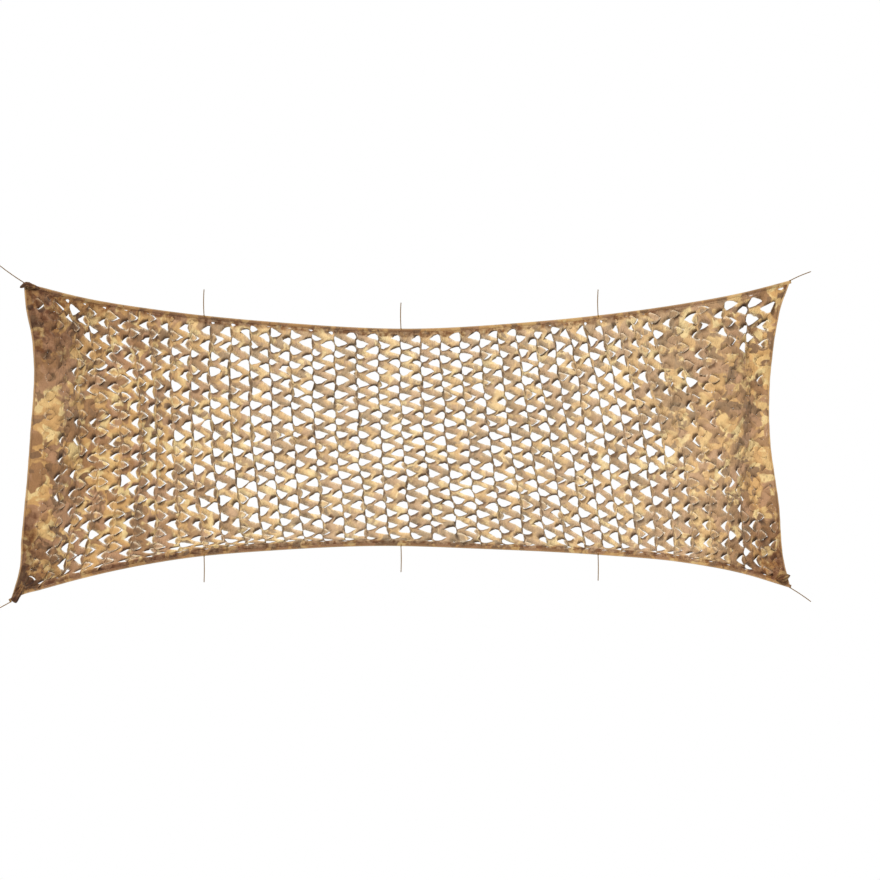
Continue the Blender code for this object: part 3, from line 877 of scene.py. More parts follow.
def zigzag(first, last, at_row, shares):
    """Rows and columns of an upright zigzag: shares repeats over four quarter rows."""
    quarter = np.arange(round((last - first) * 4) + 1)
    return at_row + np.array(shares)[quarter % 4], first + quarter / 4.0


left_column, left_row = zigzag(0.0, ROWS, FIRST_PERIOD, (0.110, 0.0, -0.110, 0.0))
right_column, right_row = zigzag(-0.5, ROWS + 0.5, FIRST_PERIOD + PERIODS, (-0.110, 0.0, 0.110, 0.0))
top_shares = np.array((0.110, 0.170, 0.265, 0.360, 0.500, 0.640, 0.735, 0.830, 0.890, 1.000))
top_rows = np.array((0.0, 0.0, 0.0, 0.0, 0.25, 0.5, 0.5, 0.5, 0.5, 0.25))
chain_column = (FIRST_PERIOD + np.arange(PERIODS)[:, None] + top_shares).ravel()[:-1]
chain_row = np.tile(top_rows, PERIODS)[:-1]
left_chain = numbers_of(left_column, left_row)
right_chain = numbers_of(right_column, right_row)
top_chain = numbers_of(chain_column, -chain_row)
bottom_chain = numbers_of(chain_column, ROWS + chain_row)
print("border chains of", len(left_chain), len(right_chain), len(top_chain), len(bottom_chain), "points")


def side_strip(chain, edge, inset, first_number):
    """The border beside a short edge. Each line keeps its share of the way down, and x goes evenly from the
    chain's point out to the edge."""
    start = web_points[chain]
    start_top, start_bottom = smooth(TOP_EDGE, start[:, 0]), smooth(BOTTOM_EDGE, start[:, 0])
    down = np.clip((start_top - start[:, 2]) / (start_top - start_bottom), 0.0, 1.0)
    share = (np.arange(1, BORDER_LINES + 1) / BORDER_LINES)[None]
    x = start[:, 0][:, None] * (1.0 - share) + (smooth(edge, down) + inset)[:, None] * share
    z = smooth(TOP_EDGE, x) + down[:, None] * (smooth(BOTTOM_EDGE, x) - smooth(TOP_EDGE, x))
    y = relief(x, z) + (start[:, 1] - relief(start[:, 0], start[:, 2]))[:, None] * (1.0 - share)
    numbers = np.concatenate([chain[:, None], first_number + np.arange(x.size).reshape(x.shape)], axis=1)
    return np.stack([x, y, z], axis=-1).reshape(-1, 3), numbers


def long_strip(chain, points, edge, inset, first_number):
    """The border beside a long edge. It goes straight up or down from the chain's points to a line inside
    the edge."""
    share = (np.arange(1, BORDER_LINES + 1) / BORDER_LINES)[None]
    x = np.repeat(points[:, :1], BORDER_LINES, axis=1)
    z = points[:, 2][:, None] * (1.0 - share) + (smooth(edge, points[:, 0]) + inset)[:, None] * share
    numbers = np.concatenate([chain[:, None], first_number + np.arange(x.size).reshape(x.shape)], axis=1)
    return np.stack([x, relief(x, z), z], axis=-1).reshape(-1, 3), numbers


def soft_stop(y):
    """Depths past a knee bend over towards the limit as a hyperbolic tangent does, and never pass it."""
    knee = KNEE * DEPTH_LIMIT
    past = np.maximum(np.abs(y) - knee, 0.0) / (DEPTH_LIMIT - knee)
    return np.where(past > 0.0, np.sign(y) * (knee + (DEPTH_LIMIT - knee) * np.tanh(past)), y)


print("border is", BORDER_LINES, "quads wide")

# %% Assemble the cloth
CLOTH_THICKNESS = 0.0016
cloth_points = [web_points, rim_points.reshape(-1, 3), np.stack(leaf_lines, axis=1).reshape(-1, 3)]
next_number = sum(len(points) for points in cloth_points)
left_points, left_numbers = side_strip(left_chain, LEFT_EDGE, SHORT_TAPE_WIDTH - UNDER_TAPE, next_number)
next_number += len(left_points)
right_points, right_numbers = side_strip(right_chain, RIGHT_EDGE, UNDER_TAPE - SHORT_TAPE_WIDTH, next_number)
next_number += len(right_points)
so_far = np.concatenate(cloth_points + [left_points, right_points])
long_insets = {
    "top": (TOP_EDGE, UNDER_TAPE - LONG_TAPE_WIDTH),
    "bottom": (BOTTOM_EDGE, LONG_TAPE_WIDTH - UNDER_TAPE),
}
chains = {
    "top": np.concatenate([left_numbers[0, ::-1], top_chain[1:], right_numbers[0, 1:]]),
    "bottom": np.concatenate([left_numbers[-1, ::-1], bottom_chain[1:], right_numbers[-1, 1:]]),
}
long_points, long_numbers = {}, {}
for side_name, chain in chains.items():
    edge, inset = long_insets[side_name]
    strip, numbers = long_strip(chain, so_far[chain], edge, inset, next_number)
    long_points[side_name] = strip
    long_numbers[side_name] = numbers
    next_number += len(strip)
cloth_points = np.concatenate([so_far, long_points["top"], long_points["bottom"]])
cloth_points[:, 1] = soft_stop(cloth_points[:, 1])
cloth_faces = [
    ring.reshape(-1, 4),
    leaf.reshape(-1, 4),
    table_quads(left_numbers)[:, ::-1],
    table_quads(right_numbers),
    table_quads(long_numbers["top"]),
    table_quads(long_numbers["bottom"])[:, ::-1],
]
used, corner_numbers = np.unique(np.concatenate(cloth_faces), return_inverse=True)
cloth_quads = corner_numbers.reshape(-1, 4)
print(len(used), "points and", len(cloth_quads), "quads before thickness")

# %% [markdown]
# ## Marks for the finish
#
# A finish needs to know more than where a point is. Four numbers ride on each point of the cloth: how far
# it lies from a cut, where the cloth frays and takes a painted highlight; how much painted shade it takes in
# a crease, on a turned leaf or along a seam; whether it lies on a ribbon's lower edge, painted in shade, or
# on its upper edge; and how near it is to the hem, where hands soil it. They could be painted by hand, but
# the pattern already knows them all. Each leaf's print also slips a little, since it turns as it is pulled.

# %% Distance from a cut
LEAF_PRINT_SHIFT = 0.07
# Only a cut that the pull works open frays: elsewhere its edges count as this much further from the cut
SHUT_HELD_BACK = 0.060
BUNCHED_HELD_BACK = 0.010
HINGE_DISTANCE = 0.03
BORDER_DISTANCE = 0.05
held_back = np.where(shut, SHUT_HELD_BACK, BUNCHED_HELD_BACK * bunched)


def leaf_marks():
    """For each leaf point: its place on the flat cloth, and how far it lies from the cut."""
    along = np.array([line[0] for line in LEAF_LINES[1:]])[None, :, None]
    half = np.array([line[1] for line in LEAF_LINES[1:]])[None, :, None]
    share = np.linspace(-1.0, 1.0, HINGE_POINTS)[None, None]
    reach = leaf_length[:, None, None] * along * (1.0 - LEAF_TIP_ROUND * along**2 * share**2)
    sideways = share * half * leaf_width[:, None, None]
    flat_x = hinge_middle[:, 0][:, None, None] + way[:, None, None] * reach
    flat_z = hinge_middle[:, 2][:, None, None] - sideways
    from_side = half * leaf_width[:, None, None] * (1.0 - np.abs(share))
    from_tip = leaf_length[:, None, None] * (1.0 - along) * np.ones_like(share)
    shift = LEAF_PRINT_SHIFT * np.where(shut, 0.0, 0.3 + 0.7 * gape) * rng.normal(size=(2, tiles))
    flat = np.stack([flat_x + shift[0][:, None, None], flat_z + shift[1][:, None, None]], axis=-1)
    from_cut = np.minimum(from_side, from_tip) + held_back[:, None, None]
    return flat.reshape(-1, 2), from_cut.ravel()


leaf_flat, leaf_distance = leaf_marks()
rim_distance = np.zeros((tiles, RIM_POINTS)) + held_back[:, None]
rim_distance[:, 1 : HINGE_POINTS - 1] = HINGE_DISTANCE
ribbon_width = np.linalg.norm(web_points[web_corner] - rim_points, axis=-1)
web_distance = np.zeros(web_count)
np.maximum.at(web_distance, web_corner.ravel(), ribbon_width.ravel())
border_count = len(cloth_points) - leaf_first - tiles * leaf_count
flat_cloth = cloth_points[:, [0, 2]].copy()
flat_cloth[leaf_first : leaf_first + len(leaf_flat)] = leaf_flat
border_distance = np.full(border_count, BORDER_DISTANCE)
from_cut = np.concatenate([web_distance, rim_distance.ravel(), leaf_distance, border_distance])
print("furthest from a cut", round(float(from_cut.max()) * 1000.0), "mm")

# %% Creases and their painted shade
# Hinge lines crease where the cloth is pulled hard, some columns more than others, and shade is painted along
# them. A turned leaf is in its own shade, painted deepest beside its hinge
WEB_CREASE = 0.5
WEB_CREASE_REACH = 0.12
HINGE_CREASE = (0.4, 1.0, 1.0, 1.0, 0.4)
CREASE_SCATTER = 0.38
LEAF_SHADE = (0.95, 0.75, 0.50)
LAZY_SHADE = 0.3
pulled_hard = 0.15 + 0.85 * wide_open
on_hinge = np.abs((web_column + 0.5) % 1.0 - 0.5) < WEB_CREASE_REACH
web_crease = WEB_CREASE * on_hinge * np.clip(1.1 - 5.0 * web_bunched, 0.1, 1.0)
rim_crease = np.zeros((tiles, RIM_POINTS))
rim_crease[:, :HINGE_POINTS] = HINGE_CREASE
by_column = 0.80 + 0.25 * np.sin(1.9 * period + 0.9 * np.sin(0.6 * tile_row + period))
uneven = np.clip(by_column + CREASE_SCATTER * rng.normal(size=tiles), 0.05, 1.1)
rim_crease = rim_crease * (pulled_hard * uneven)[:, None]
in_shade = np.clip(2.0 * turn - 0.6, 0.0, 1.0) * np.where(lazy, LAZY_SHADE, 1.0)
leaf_crease = np.array(LEAF_SHADE)[None, :, None] * in_shade[:, None, None]
leaf_crease = np.repeat(leaf_crease, HINGE_POINTS, axis=2).ravel()
crease_shade = np.concatenate([web_crease, rim_crease.ravel(), leaf_crease, np.zeros(border_count)])
print(int((crease_shade > 0.5).sum()), "points lie in a crease")

# %% Ribbons with painted shade on their lower edges
# Painted shade on the ribbon edges that turn away from the light: below a right-pointing gap, above a
# left-pointing one
UNDER_ROWS = 0.10
UNDER_SHARE = 0.75
UNDER_SCATTER = 0.30
rim_under = np.clip(way[:, None] * below_middle / UNDER_ROWS, -1.0, 1.0)
rim_under[:, :HINGE_POINTS] = 0.0
under_amount = looseness * np.clip(UNDER_SHARE + UNDER_SCATTER * rng.normal(size=tiles), 0.1, 1.0)
rim_under = rim_under * under_amount[:, None]
off_rims = np.zeros(tiles * leaf_count + border_count)
underside_shade = np.concatenate([np.zeros(web_count), rim_under.ravel(), off_rims])
print(int((underside_shade > 0.5).sum()), "rim points roll under")

# %% Soiled hems and corners, and painted shade along the seams
MIDDLE_HEIGHT = -1.02
# The border is plain at mid height, from here on it soils and its seam is painted in shade, and over this
# much height both come in
HEM_DARKENS_FROM = 0.55
HEM_DARKENS_OVER = 0.30
# Along the two long edges the seam draws the cloth in, and painted shade lies there as in a crease. Going
# right it loses a share of its shade over a stretch of x
SEAM_SHADE = 0.55
SEAM_LOSS = 0.6
SEAM_FADE_FROM = -0.5
SEAM_FADE_OVER = 2.5
# The top hem near the right corner hangs highest and is seldom held, so it stays cleaner
CLEAN_FROM = 2.4
CLEAN_OVER = 1.0
CLEANED = 0.7
# (a corner, how far its handling marks reach)
HANDLED_CORNERS = (
    (TOP_EDGE[0], 1.00), (TOP_EDGE[-1], 0.18), (BOTTOM_EDGE[0], 0.75), (BOTTOM_EDGE[-1], 0.75),
)
border_points = cloth_points[-border_count:]
from_middle = np.abs(border_points[:, 2] - MIDDLE_HEIGHT)
hem_soil_and_shade = np.clip((from_middle - HEM_DARKENS_FROM) / HEM_DARKENS_OVER, 0.0, 1.0)
seam_fade = 1.0 - SEAM_LOSS * np.clip((border_points[:, 0] - SEAM_FADE_FROM) / SEAM_FADE_OVER, 0.0, 1.0)
# Painted shade along the long seams goes into the crease mark
crease_shade[-border_count:] = SEAM_SHADE * seam_fade * hem_soil_and_shade
near_hem = np.concatenate([1.0 - web_room, 1.0 - rim_room.ravel(), np.zeros(tiles * leaf_count), hem_soil_and_shade])
clean = np.clip((cloth_points[:, 0] - CLEAN_FROM) / CLEAN_OVER, 0.0, 1.0)
near_hem = near_hem * (1.0 - CLEANED * clean * (cloth_points[:, 2] > MIDDLE_HEIGHT))
for (corner_x, corner_z), reach in HANDLED_CORNERS:
    away = np.hypot(cloth_points[:, 0] - corner_x, cloth_points[:, 2] - corner_z)
    near_hem = np.maximum(near_hem, np.exp(-((away / reach) ** 2)))
print(round(float((near_hem > 0.5).mean()), 2), "of the points lie near a hem or a handled corner")

# %% Netting piece
cloth_marks = {
    "from_cut": from_cut[used],
    "crease_shade": crease_shade[used],
    "underside_shade": underside_shade[used],
    "near_hem": near_hem[used],
}
netting = make_piece("netting_cloth", cloth_points[used], [cloth_quads], flat_cloth[used], cloth_marks)
solidify = netting.modifiers.new("thickness", "SOLIDIFY")
solidify.thickness = CLOTH_THICKNESS
solidify.offset = 0.0
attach(netting, "root")
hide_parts("net_panel")
areas = np.empty(len(netting.data.polygons))
netting.data.polygons.foreach_get("area", areas)
normals = np.empty(len(areas) * 3)
netting.data.polygons.foreach_get("normal", normals)

# %% [markdown]
# ## Edge tapes
#
# A woven tape is folded over the raw edge of the cloth and stitched through. Its section is a flat U with
# thick walls, carried along the edge. A curve with a bevel object would turn and twist the section at the
# corners, so the section's points are placed one by one: its depth runs straight into the cloth and its
# thickness runs along Y. Sewn tape is never quite even, so its inner edge and its lie wander a little.

# %% Folded tape
# The tape's section from the inner edge in front, round the fold, and back inside. Each point is a share of
# the tape's width and how far back it lies in mm
TAPE_SECTION = (
    (1.00, -1.9), (0.94, -2.4), (0.70, -2.6), (0.40, -2.7), (0.14, -2.5), (0.03, -1.5), (0.00, 0.0),
    (0.03, 1.5), (0.14, 2.5), (0.40, 2.7), (0.70, 2.6), (0.94, 2.4), (1.00, 1.9),
    (1.00, 0.95), (0.60, 1.1), (0.20, 0.9), (0.20, -0.9), (0.60, -1.1), (1.00, -0.95),
)
MILLIMETRE = 0.001
TAPE_STEP = 0.016
TAPE_WAVE = 0.0012
TAPE_WIDTH_WAVE = 0.03
TAPE_WAVE_LENGTHS = (0.055, 0.021)
EDGE_SAMPLES = 600
SIDE_TAPE_ENDS = (0.010, 0.990)


def folded_tape(name, outer, inwards, width, phase, mirrored):
    """A tape along a line of outer-edge points. Its points lie at the edge, plus the section's share of the
    width along inwards, plus its thickness along Y, with a slow sine wave on both. On a mirrored tape the
    section turns the other way round, so each face is read backwards and still points out."""
    run = run_along(outer)
    share_in, back = np.array(TAPE_SECTION).T
    first_length, second_length = TAPE_WAVE_LENGTHS
    wave = np.sin(run / first_length + phase) + np.sin(run / second_length + 2.0 * phase)
    local_width = width * (1.0 + TAPE_WIDTH_WAVE * wave)
    x = outer[:, None, 0] + inwards[:, None, 0] * share_in[None] * local_width[:, None]
    z = outer[:, None, 2] + inwards[:, None, 2] * share_in[None] * local_width[:, None]
    lie = relief(x, z) + TAPE_WAVE * wave[:, None] * (1.0 - share_in[None])
    points = np.stack([x, lie + MILLIMETRE * back[None], z], axis=-1)
    steps = np.hypot(np.diff(share_in) * width, np.diff(back) * MILLIMETRE)
    around = np.concatenate([[0.0], np.cumsum(steps)])
    flat = np.stack(np.broadcast_arrays(run[:, None], around[None, :]), axis=-1).reshape(-1, 2)
    depth = np.broadcast_to(share_in[None] * width, x.shape).ravel()
    faces = tube_faces(len(outer), len(TAPE_SECTION), turned_over=mirrored)
    tape = make_piece(name, points.reshape(-1, 3), faces, flat, {"from_edge": depth})
    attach(tape, "root")
    return tape


def edge_line(table, ends, by_height=False):
    """Evenly spaced outer-edge points between two ends of a table, and the unit vectors into the cloth."""
    at = np.linspace(*ends, EDGE_SAMPLES)
    if by_height:
        x = smooth(table, at)
        z = smooth(TOP_EDGE, x) * (1.0 - at) + smooth(BOTTOM_EDGE, x) * at
    else:
        x, z = at, smooth(table, at)
    line = even_steps(np.stack([x, np.zeros_like(x), z], axis=1), TAPE_STEP)
    along = unit(np.gradient(line, axis=0))
    line[:, 1] = relief(line[:, 0], line[:, 2])
    return line, np.stack([along[:, 2], np.zeros(len(line)), -along[:, 0]], axis=1)


print("the tape is", len(TAPE_SECTION), "points round")

# %% Make the tapes
tapes = []
for node, table, way_in, by_height, width in (
    ("edge_top", TOP_EDGE, 1.0, False, LONG_TAPE_WIDTH),
    ("edge_bottom", BOTTOM_EDGE, -1.0, False, LONG_TAPE_WIDTH),
    ("edge_left", LEFT_EDGE, -1.0, True, SHORT_TAPE_WIDTH),
    ("edge_right", RIGHT_EDGE, 1.0, True, SHORT_TAPE_WIDTH),
):
    ends = SIDE_TAPE_ENDS if by_height else (table[0][0], table[-1][0])
    line, inwards = edge_line(table, ends, by_height)
    phase = float(len(tapes))
    tape = folded_tape(node + "_tape", line, way_in * inwards, width, phase, mirrored=way_in < 0.0)
    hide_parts(node)
    tapes.append(tape)
    print(tape.name, len(tape.data.polygons), "faces")

# %% [markdown]
# ## Gathered corners
#
# At three corners a little spare cloth is pinched by the tie and stands out in a short crumpled roll. Cloth
# simulation would crumple it by itself, but at a few centimetres a tube with folds in its radius looks the
# same and is light. Each lies in front of the tape, and the two lower ones press into the cloth behind.

# %% Gathered rolls
GATHER_RINGS = 19
GATHER_SIDES = 36
GATHER_DEEP = 0.42
GATHER_FOLD = 0.20
GATHER_KNEE = 0.4
# The folds twist by this much along the roll, first the main ones and then the small ones between them
GATHER_TWISTS = (3.0, 5.0)
SMALL_FOLDS = 0.5
# How round a roll's ends are, and how narrow they get
GATHER_END_POWER = 16
GATHER_END = 0.10
# How far it stands off: a plain gap, a gap that grows with its height, and a share of its own depth
GATHER_OFF = 0.005
GATHER_SWELL = 0.008
GATHER_FORWARD = 1.3
# (name, its line as x and z, half its height at each quarter of the line, folds round it, their turn)
GATHERS = (
    (
        "gather_top_left", ((-4.212, 0.372), (-4.150, 0.402), (-4.000, 0.366)),
        (0.008, 0.019, 0.025, 0.017, 0.003), 5, 0.7,
    ),
    (
        "gather_bottom_right", ((4.000, -2.430), (4.075, -2.404), (4.156, -2.384)),
        (0.004, 0.030, 0.033, 0.018, 0.003), 6, 2.1,
    ),
    (
        "gather_bottom_left", ((-4.150, -2.410), (-4.226, -2.512), (-4.296, -2.594)),
        (0.003, 0.020, 0.027, 0.030, 0.031), 5, 4.0,
    ),
)


def gathered_roll(name, corners, half_heights, folds, turn):
    """An oval tube along a bent line. Its half height follows the list, times one plus a cosine of the folds
    round it, which twist along the roll. Its depth is a fixed share of its height, and its line stands that
    depth in front of the cloth, plus a gap for the tape and the hitch."""
    share = np.linspace(0.0, 1.0, GATHER_RINGS)
    line = np.array(corners)
    x, z = (np.interp(share, (0.0, GATHER_KNEE, 1.0), line[:, axis]) for axis in range(2))
    half = np.interp(share, np.linspace(0.0, 1.0, len(half_heights)), half_heights)
    rounded = np.sqrt(np.clip(1.0 - (2.0 * np.abs(share - 0.5)) ** GATHER_END_POWER, GATHER_END, 1.0))
    clear = GATHER_OFF + GATHER_SWELL * half / max(half_heights)
    path = np.stack([x, relief(x, z) - clear - GATHER_FORWARD * GATHER_DEEP * half, z], axis=1)
    around = np.linspace(0.0, 2.0 * math.pi, GATHER_SIDES, endpoint=False)
    main_twist, small_twist = (twist * share[:, None] for twist in GATHER_TWISTS)
    fold = np.cos(folds * around[None] + turn + main_twist)
    fold = fold + SMALL_FOLDS * np.sin((2 * folds + 1) * around[None] - small_twist)
    reach = (half * rounded)[:, None] * (1.0 + GATHER_FOLD * fold)
    first, second = turned_frames(path)
    points = path[:, None] + (reach * np.cos(around))[..., None] * first[:, None]
    points = points + (GATHER_DEEP * reach * np.sin(around))[..., None] * second[:, None]
    print_z = z[:, None] + half[:, None] * around / 2.0
    flat = np.stack(np.broadcast_arrays(x[:, None], print_z), axis=-1).reshape(-1, 2)
    count = GATHER_RINGS * GATHER_SIDES
    marks = {
        "from_cut": np.full(count, BORDER_DISTANCE),
        # Painted shade, deepest in the folds of the roll
        "crease_shade": np.clip(0.80 - 0.4 * fold, 0.4, 1.0).ravel(),
        "underside_shade": np.zeros(count),
        "near_hem": np.ones(count),
    }
    faces = tube_faces(GATHER_RINGS, GATHER_SIDES)
    gather = make_piece(name, points.reshape(-1, 3), faces, flat, marks)
    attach(gather, "root")
    return gather


gathers = [gathered_roll(*values) for values in GATHERS]
print("rolls of", [round(float(max(values[2]) * 2000.0)) for values in GATHERS], "mm")

# %% [markdown]
# ## Finishes
#
# Every finish is a net of nodes, because a picture of cloth would blur from near and repeat from far. What
# more than one finish needs is a node group, built once: the weave, the fading, and the printed pattern.
# A group gives out only colours and numbers; the shader itself stays in each material.

# %% Helpers for nodes
def add_node(tree, kind, inputs=None, **settings):
    """A new node with its settings, and each input either set to a value or linked from a socket."""
    node = tree.nodes.new(kind)
    for name, value in settings.items():
        setattr(node, name, value)
    for name, value in (inputs or {}).items():
        if isinstance(value, bpy.types.NodeSocket):
            tree.links.new(value, node.inputs[name])
        else:
            node.inputs[name].default_value = value
    return node


def math_node(tree, operation, first, second=0.0, third=0.0, clamp=False):
    """The result of one sum of a Math node."""
    inputs = {0: first, 1: second, 2: third}
    return add_node(tree, "ShaderNodeMath", inputs, operation=operation, use_clamp=clamp).outputs[0]


def product(tree, *factors):
    """The factors multiplied, two at a time."""
    result = factors[0]
    for factor in factors[1:]:
        result = math_node(tree, "MULTIPLY", result, factor)
    return result


def vector_node(tree, operation, first, second):
    """The result of one sum of a Vector Math node. To scale, the second is a plain number."""
    inputs = {0: first, "Scale" if operation == "SCALE" else 1: second}
    return add_node(tree, "ShaderNodeVectorMath", inputs, operation=operation).outputs[0]


def noise(tree, place, scale, detail, **others):
    """The height of a noise at a place."""
    inputs = {"Vector": place, "Scale": scale, "Detail": detail, **others}
    return add_node(tree, "ShaderNodeTexNoise", inputs).outputs["Fac"]


def mapping(tree, place, turn, scale=(1.0, 1.0, 1.0)):
    """A place turned, in radians, and then stretched along each axis."""
    return add_node(tree, "ShaderNodeMapping", {"Vector": place, "Rotation": turn, "Scale": scale}).outputs[0]


def between(tree, value, low, high, from_low=0.0, from_high=1.0):
    """A value mapped on a smooth step from one range to another."""
    node = add_node(
        tree, "ShaderNodeMapRange",
        {"Value": value, "From Min": from_low, "From Max": from_high, "To Min": low, "To Max": high},
        interpolation_type="SMOOTHSTEP",
    )
    return node.outputs["Result"]


# %% Helpers for colours, places and groups
def mix_colours(tree, factor, first, second, blend="MIX"):
    """Two colours mixed by a factor."""
    node = add_node(tree, "ShaderNodeMix", data_type="RGBA", blend_type=blend)
    for number, value in ((0, factor), (6, first), (7, second)):
        if isinstance(value, bpy.types.NodeSocket):
            tree.links.new(value, node.inputs[number])
        else:
            node.inputs[number].default_value = value
    return node.outputs[2]


def shaded(tree, colour, shade):
    """A colour made darker or lighter by one number."""
    grey = add_node(tree, "ShaderNodeCombineColor", {0: shade, 1: shade, 2: shade}).outputs[0]
    return mix_colours(tree, 1.0, colour, grey, "MULTIPLY")


def mark(tree, name):
    """One of the marks that a piece carries on its points."""
    return add_node(tree, "ShaderNodeAttribute", attribute_name=name).outputs["Fac"]


def object_place(tree):
    """Each spot's place on the object, in metres."""
    return add_node(tree, "ShaderNodeTexCoord").outputs["Object"]


def flat_place(tree):
    """Each spot's place on the flat cloth, or along and round a tape or cord, in metres."""
    return add_node(tree, "ShaderNodeUVMap", uv_map="flat_cloth").outputs["UV"]


def left_to_right(tree, place):
    """How far right a spot lies, in metres."""
    return add_node(tree, "ShaderNodeSeparateXYZ", {0: place}).outputs["X"]


def linear(red, green, blue):
    """A colour given as everyday 0 to 255 numbers, in Blender's linear light."""
    part = np.array((red, green, blue)) / 255.0
    lit = np.where(part <= 0.04045, part / 12.92, ((part + 0.055) / 1.055) ** 2.4)
    return tuple(lit.tolist()) + (1.0,)


def new_group(name, inputs, outputs):
    """An empty node group with its sockets, its input node and its output node."""
    group = bpy.data.node_groups.new(name, "ShaderNodeTree")
    for socket, kind, value in inputs:
        item = group.interface.new_socket(socket, in_out="INPUT", socket_type=kind)
        if value is not None:
            item.default_value = value
    for socket, kind in outputs:
        group.interface.new_socket(socket, in_out="OUTPUT", socket_type=kind)
    return group, group.nodes.new("NodeGroupInput"), group.nodes.new("NodeGroupOutput")


print("mid grey in linear light is", round(linear(128, 128, 128)[0], 3))

# %% Weave group
def weave_group():
    """Over and under threads: the height is the product of a sine across the warp and a sine across the
    weft, and a fine noise makes the threads uneven."""
    group, start, end = new_group(
        "woven_threads",
        [("Vector", "NodeSocketVector", None), ("Threads per metre", "NodeSocketFloat", 900.0)],
        [("Height", "NodeSocketFloat"), ("Shade", "NodeSocketFloat")],
    )
    scaled = vector_node(group, "SCALE", start.outputs["Vector"], start.outputs["Threads per metre"])
    split = add_node(group, "ShaderNodeSeparateXYZ", {0: scaled})
    warp = math_node(group, "SINE", product(group, split.outputs["X"], math.pi))
    weft = math_node(group, "SINE", product(group, split.outputs["Y"], math.pi))
    height = math_node(group, "MULTIPLY_ADD", product(group, warp, weft), 0.5, 0.5)
    slubs = between(group, noise(group, scaled, 0.12, 3.0), 0.75, 1.0, 0.3, 0.7)
    uneven = product(group, height, slubs)
    group.links.new(uneven, end.inputs["Height"])
    group.links.new(between(group, uneven, 0.93, 1.05), end.inputs["Shade"])
    return group


woven_threads = weave_group()
print(woven_threads.name, "has", len(woven_threads.nodes), "nodes")

# %% Fading group
def fading_group():
    """Wear of the whole surface: broad fading by sun, small mottling where dust has settled."""
    scales = [("Broad", "NodeSocketFloat", 1.1), ("Fine", "NodeSocketFloat", 28.0)]
    group, start, end = new_group(
        "sun_and_dust",
        [("Vector", "NodeSocketVector", None)] + scales,
        [("Faded", "NodeSocketFloat"), ("Dusty", "NodeSocketFloat")],
    )
    place = start.outputs["Vector"]
    broad = noise(group, place, start.outputs["Broad"], 3.0)
    fine = noise(group, place, start.outputs["Fine"], 4.0, Roughness=0.65)
    group.links.new(between(group, broad, 0.0, 1.0, 0.32, 0.68), end.inputs["Faded"])
    group.links.new(between(group, fine, 0.0, 1.0, 0.35, 0.72), end.inputs["Dusty"])
    return group


sun_and_dust = fading_group()
print(sun_and_dust.name, "has", len(sun_and_dust.nodes), "nodes")

# %% [markdown]
# ## The printed pattern
#
# The cloth is printed in dry-country colours: sand, tan, brown and a greyed mauve in soft-edged patches,
# with a few small dark ones. Patches could be painted as shapes, but noise cut off at a level gives the
# same kind of random patch for ever. Each layer is its own noise, and all are pushed about by one slow
# noise first, so that their edges wander. The print lies on the flat cloth, so each leaf carries the
# piece of pattern that it was cut from.

# %% Print group
SAND = linear(206, 170, 110)
TAN = linear(189, 146, 88)
BROWN = linear(142, 102, 64)
MAUVE = linear(160, 119, 86)
DARK = linear(115, 83, 54)
PALE = linear(215, 188, 130)
# (colour, noise scale, shift of the noise, where the patch starts, how soft its edge is)
PRINT_LAYERS = (
    (TAN, 5.2, 0.0, 0.46, 0.035),
    (PALE, 7.4, 11.0, 0.57, 0.030),
    (BROWN, 6.0, 23.0, 0.53, 0.030),
    (MAUVE, 5.4, 37.0, 0.57, 0.030),
    (DARK, 8.0, 51.0, 0.61, 0.024),
)
PUSH_SCALE = 5.0
PUSH_REACH = 0.22
PATCH_ROUGHNESS = 0.45


def print_group():
    """The printed patches: each layer is a noise cut off at its level, laid over the ones before it. A slow
    noise, centred on zero and scaled to its reach, first pushes every place about."""
    sockets = [("Vector", "NodeSocketVector", None)], [("Color", "NodeSocketColor")]
    group, start, end = new_group("printed_patches", *sockets)
    flat = start.outputs["Vector"]
    slow = add_node(group, "ShaderNodeTexNoise", {"Vector": flat, "Scale": PUSH_SCALE, "Detail": 2.0})
    centred = vector_node(group, "SUBTRACT", slow.outputs["Color"], (0.5, 0.5, 0.5))
    pushed = vector_node(group, "ADD", flat, vector_node(group, "SCALE", centred, PUSH_REACH))
    colour = SAND
    for patch, scale, shift, level, soft in PRINT_LAYERS:
        moved = vector_node(group, "ADD", pushed, (shift, 0.7 * shift, 1.3 * shift))
        height = noise(group, moved, scale, 2.0, Roughness=PATCH_ROUGHNESS)
        mask = between(group, height, 0.0, 1.0, level - soft, level + soft)
        colour = mix_colours(group, mask, colour, patch)
    group.links.new(colour, end.inputs["Color"])
    return group


printed_patches = print_group()
print(len(PRINT_LAYERS), "printed layers over sand")

# %% Helpers for materials
def new_material(name, **shader_values):
    """A material with its Principled shader, whose plain values are set on its own sockets."""
    material = bpy.data.materials.new(name)
    material.use_nodes = True
    tree = material.node_tree
    shader = next(node for node in tree.nodes if node.type == "BSDF_PRINCIPLED")
    for socket, value in shader_values.items():
        shader.inputs[socket.replace("_", " ")].default_value = value
    return material, tree, shader


def use_group(tree, group, **inputs):
    """A node group placed in a material."""
    node = add_node(tree, "ShaderNodeGroup", node_tree=group)
    for socket, value in inputs.items():
        name = socket.replace("_", " ")
        if isinstance(value, bpy.types.NodeSocket):
            tree.links.new(value, node.inputs[name])
        else:
            node.inputs[name].default_value = value
    return node


def bump(tree, shader, height, strength, distance, under=None):
    """A Bump node from a height into the shader's Normal, laid over another bump's normal if one is given."""
    node = add_node(tree, "ShaderNodeBump", {"Height": height, "Strength": strength, "Distance": distance})
    if under is not None:
        tree.links.new(under, node.inputs["Normal"])
    tree.links.new(node.outputs["Normal"], shader.inputs["Normal"])


def paint(piece, material):
    """The piece's only material."""
    piece.data.materials.clear()
    piece.data.materials.append(material)


print("material helpers ready")
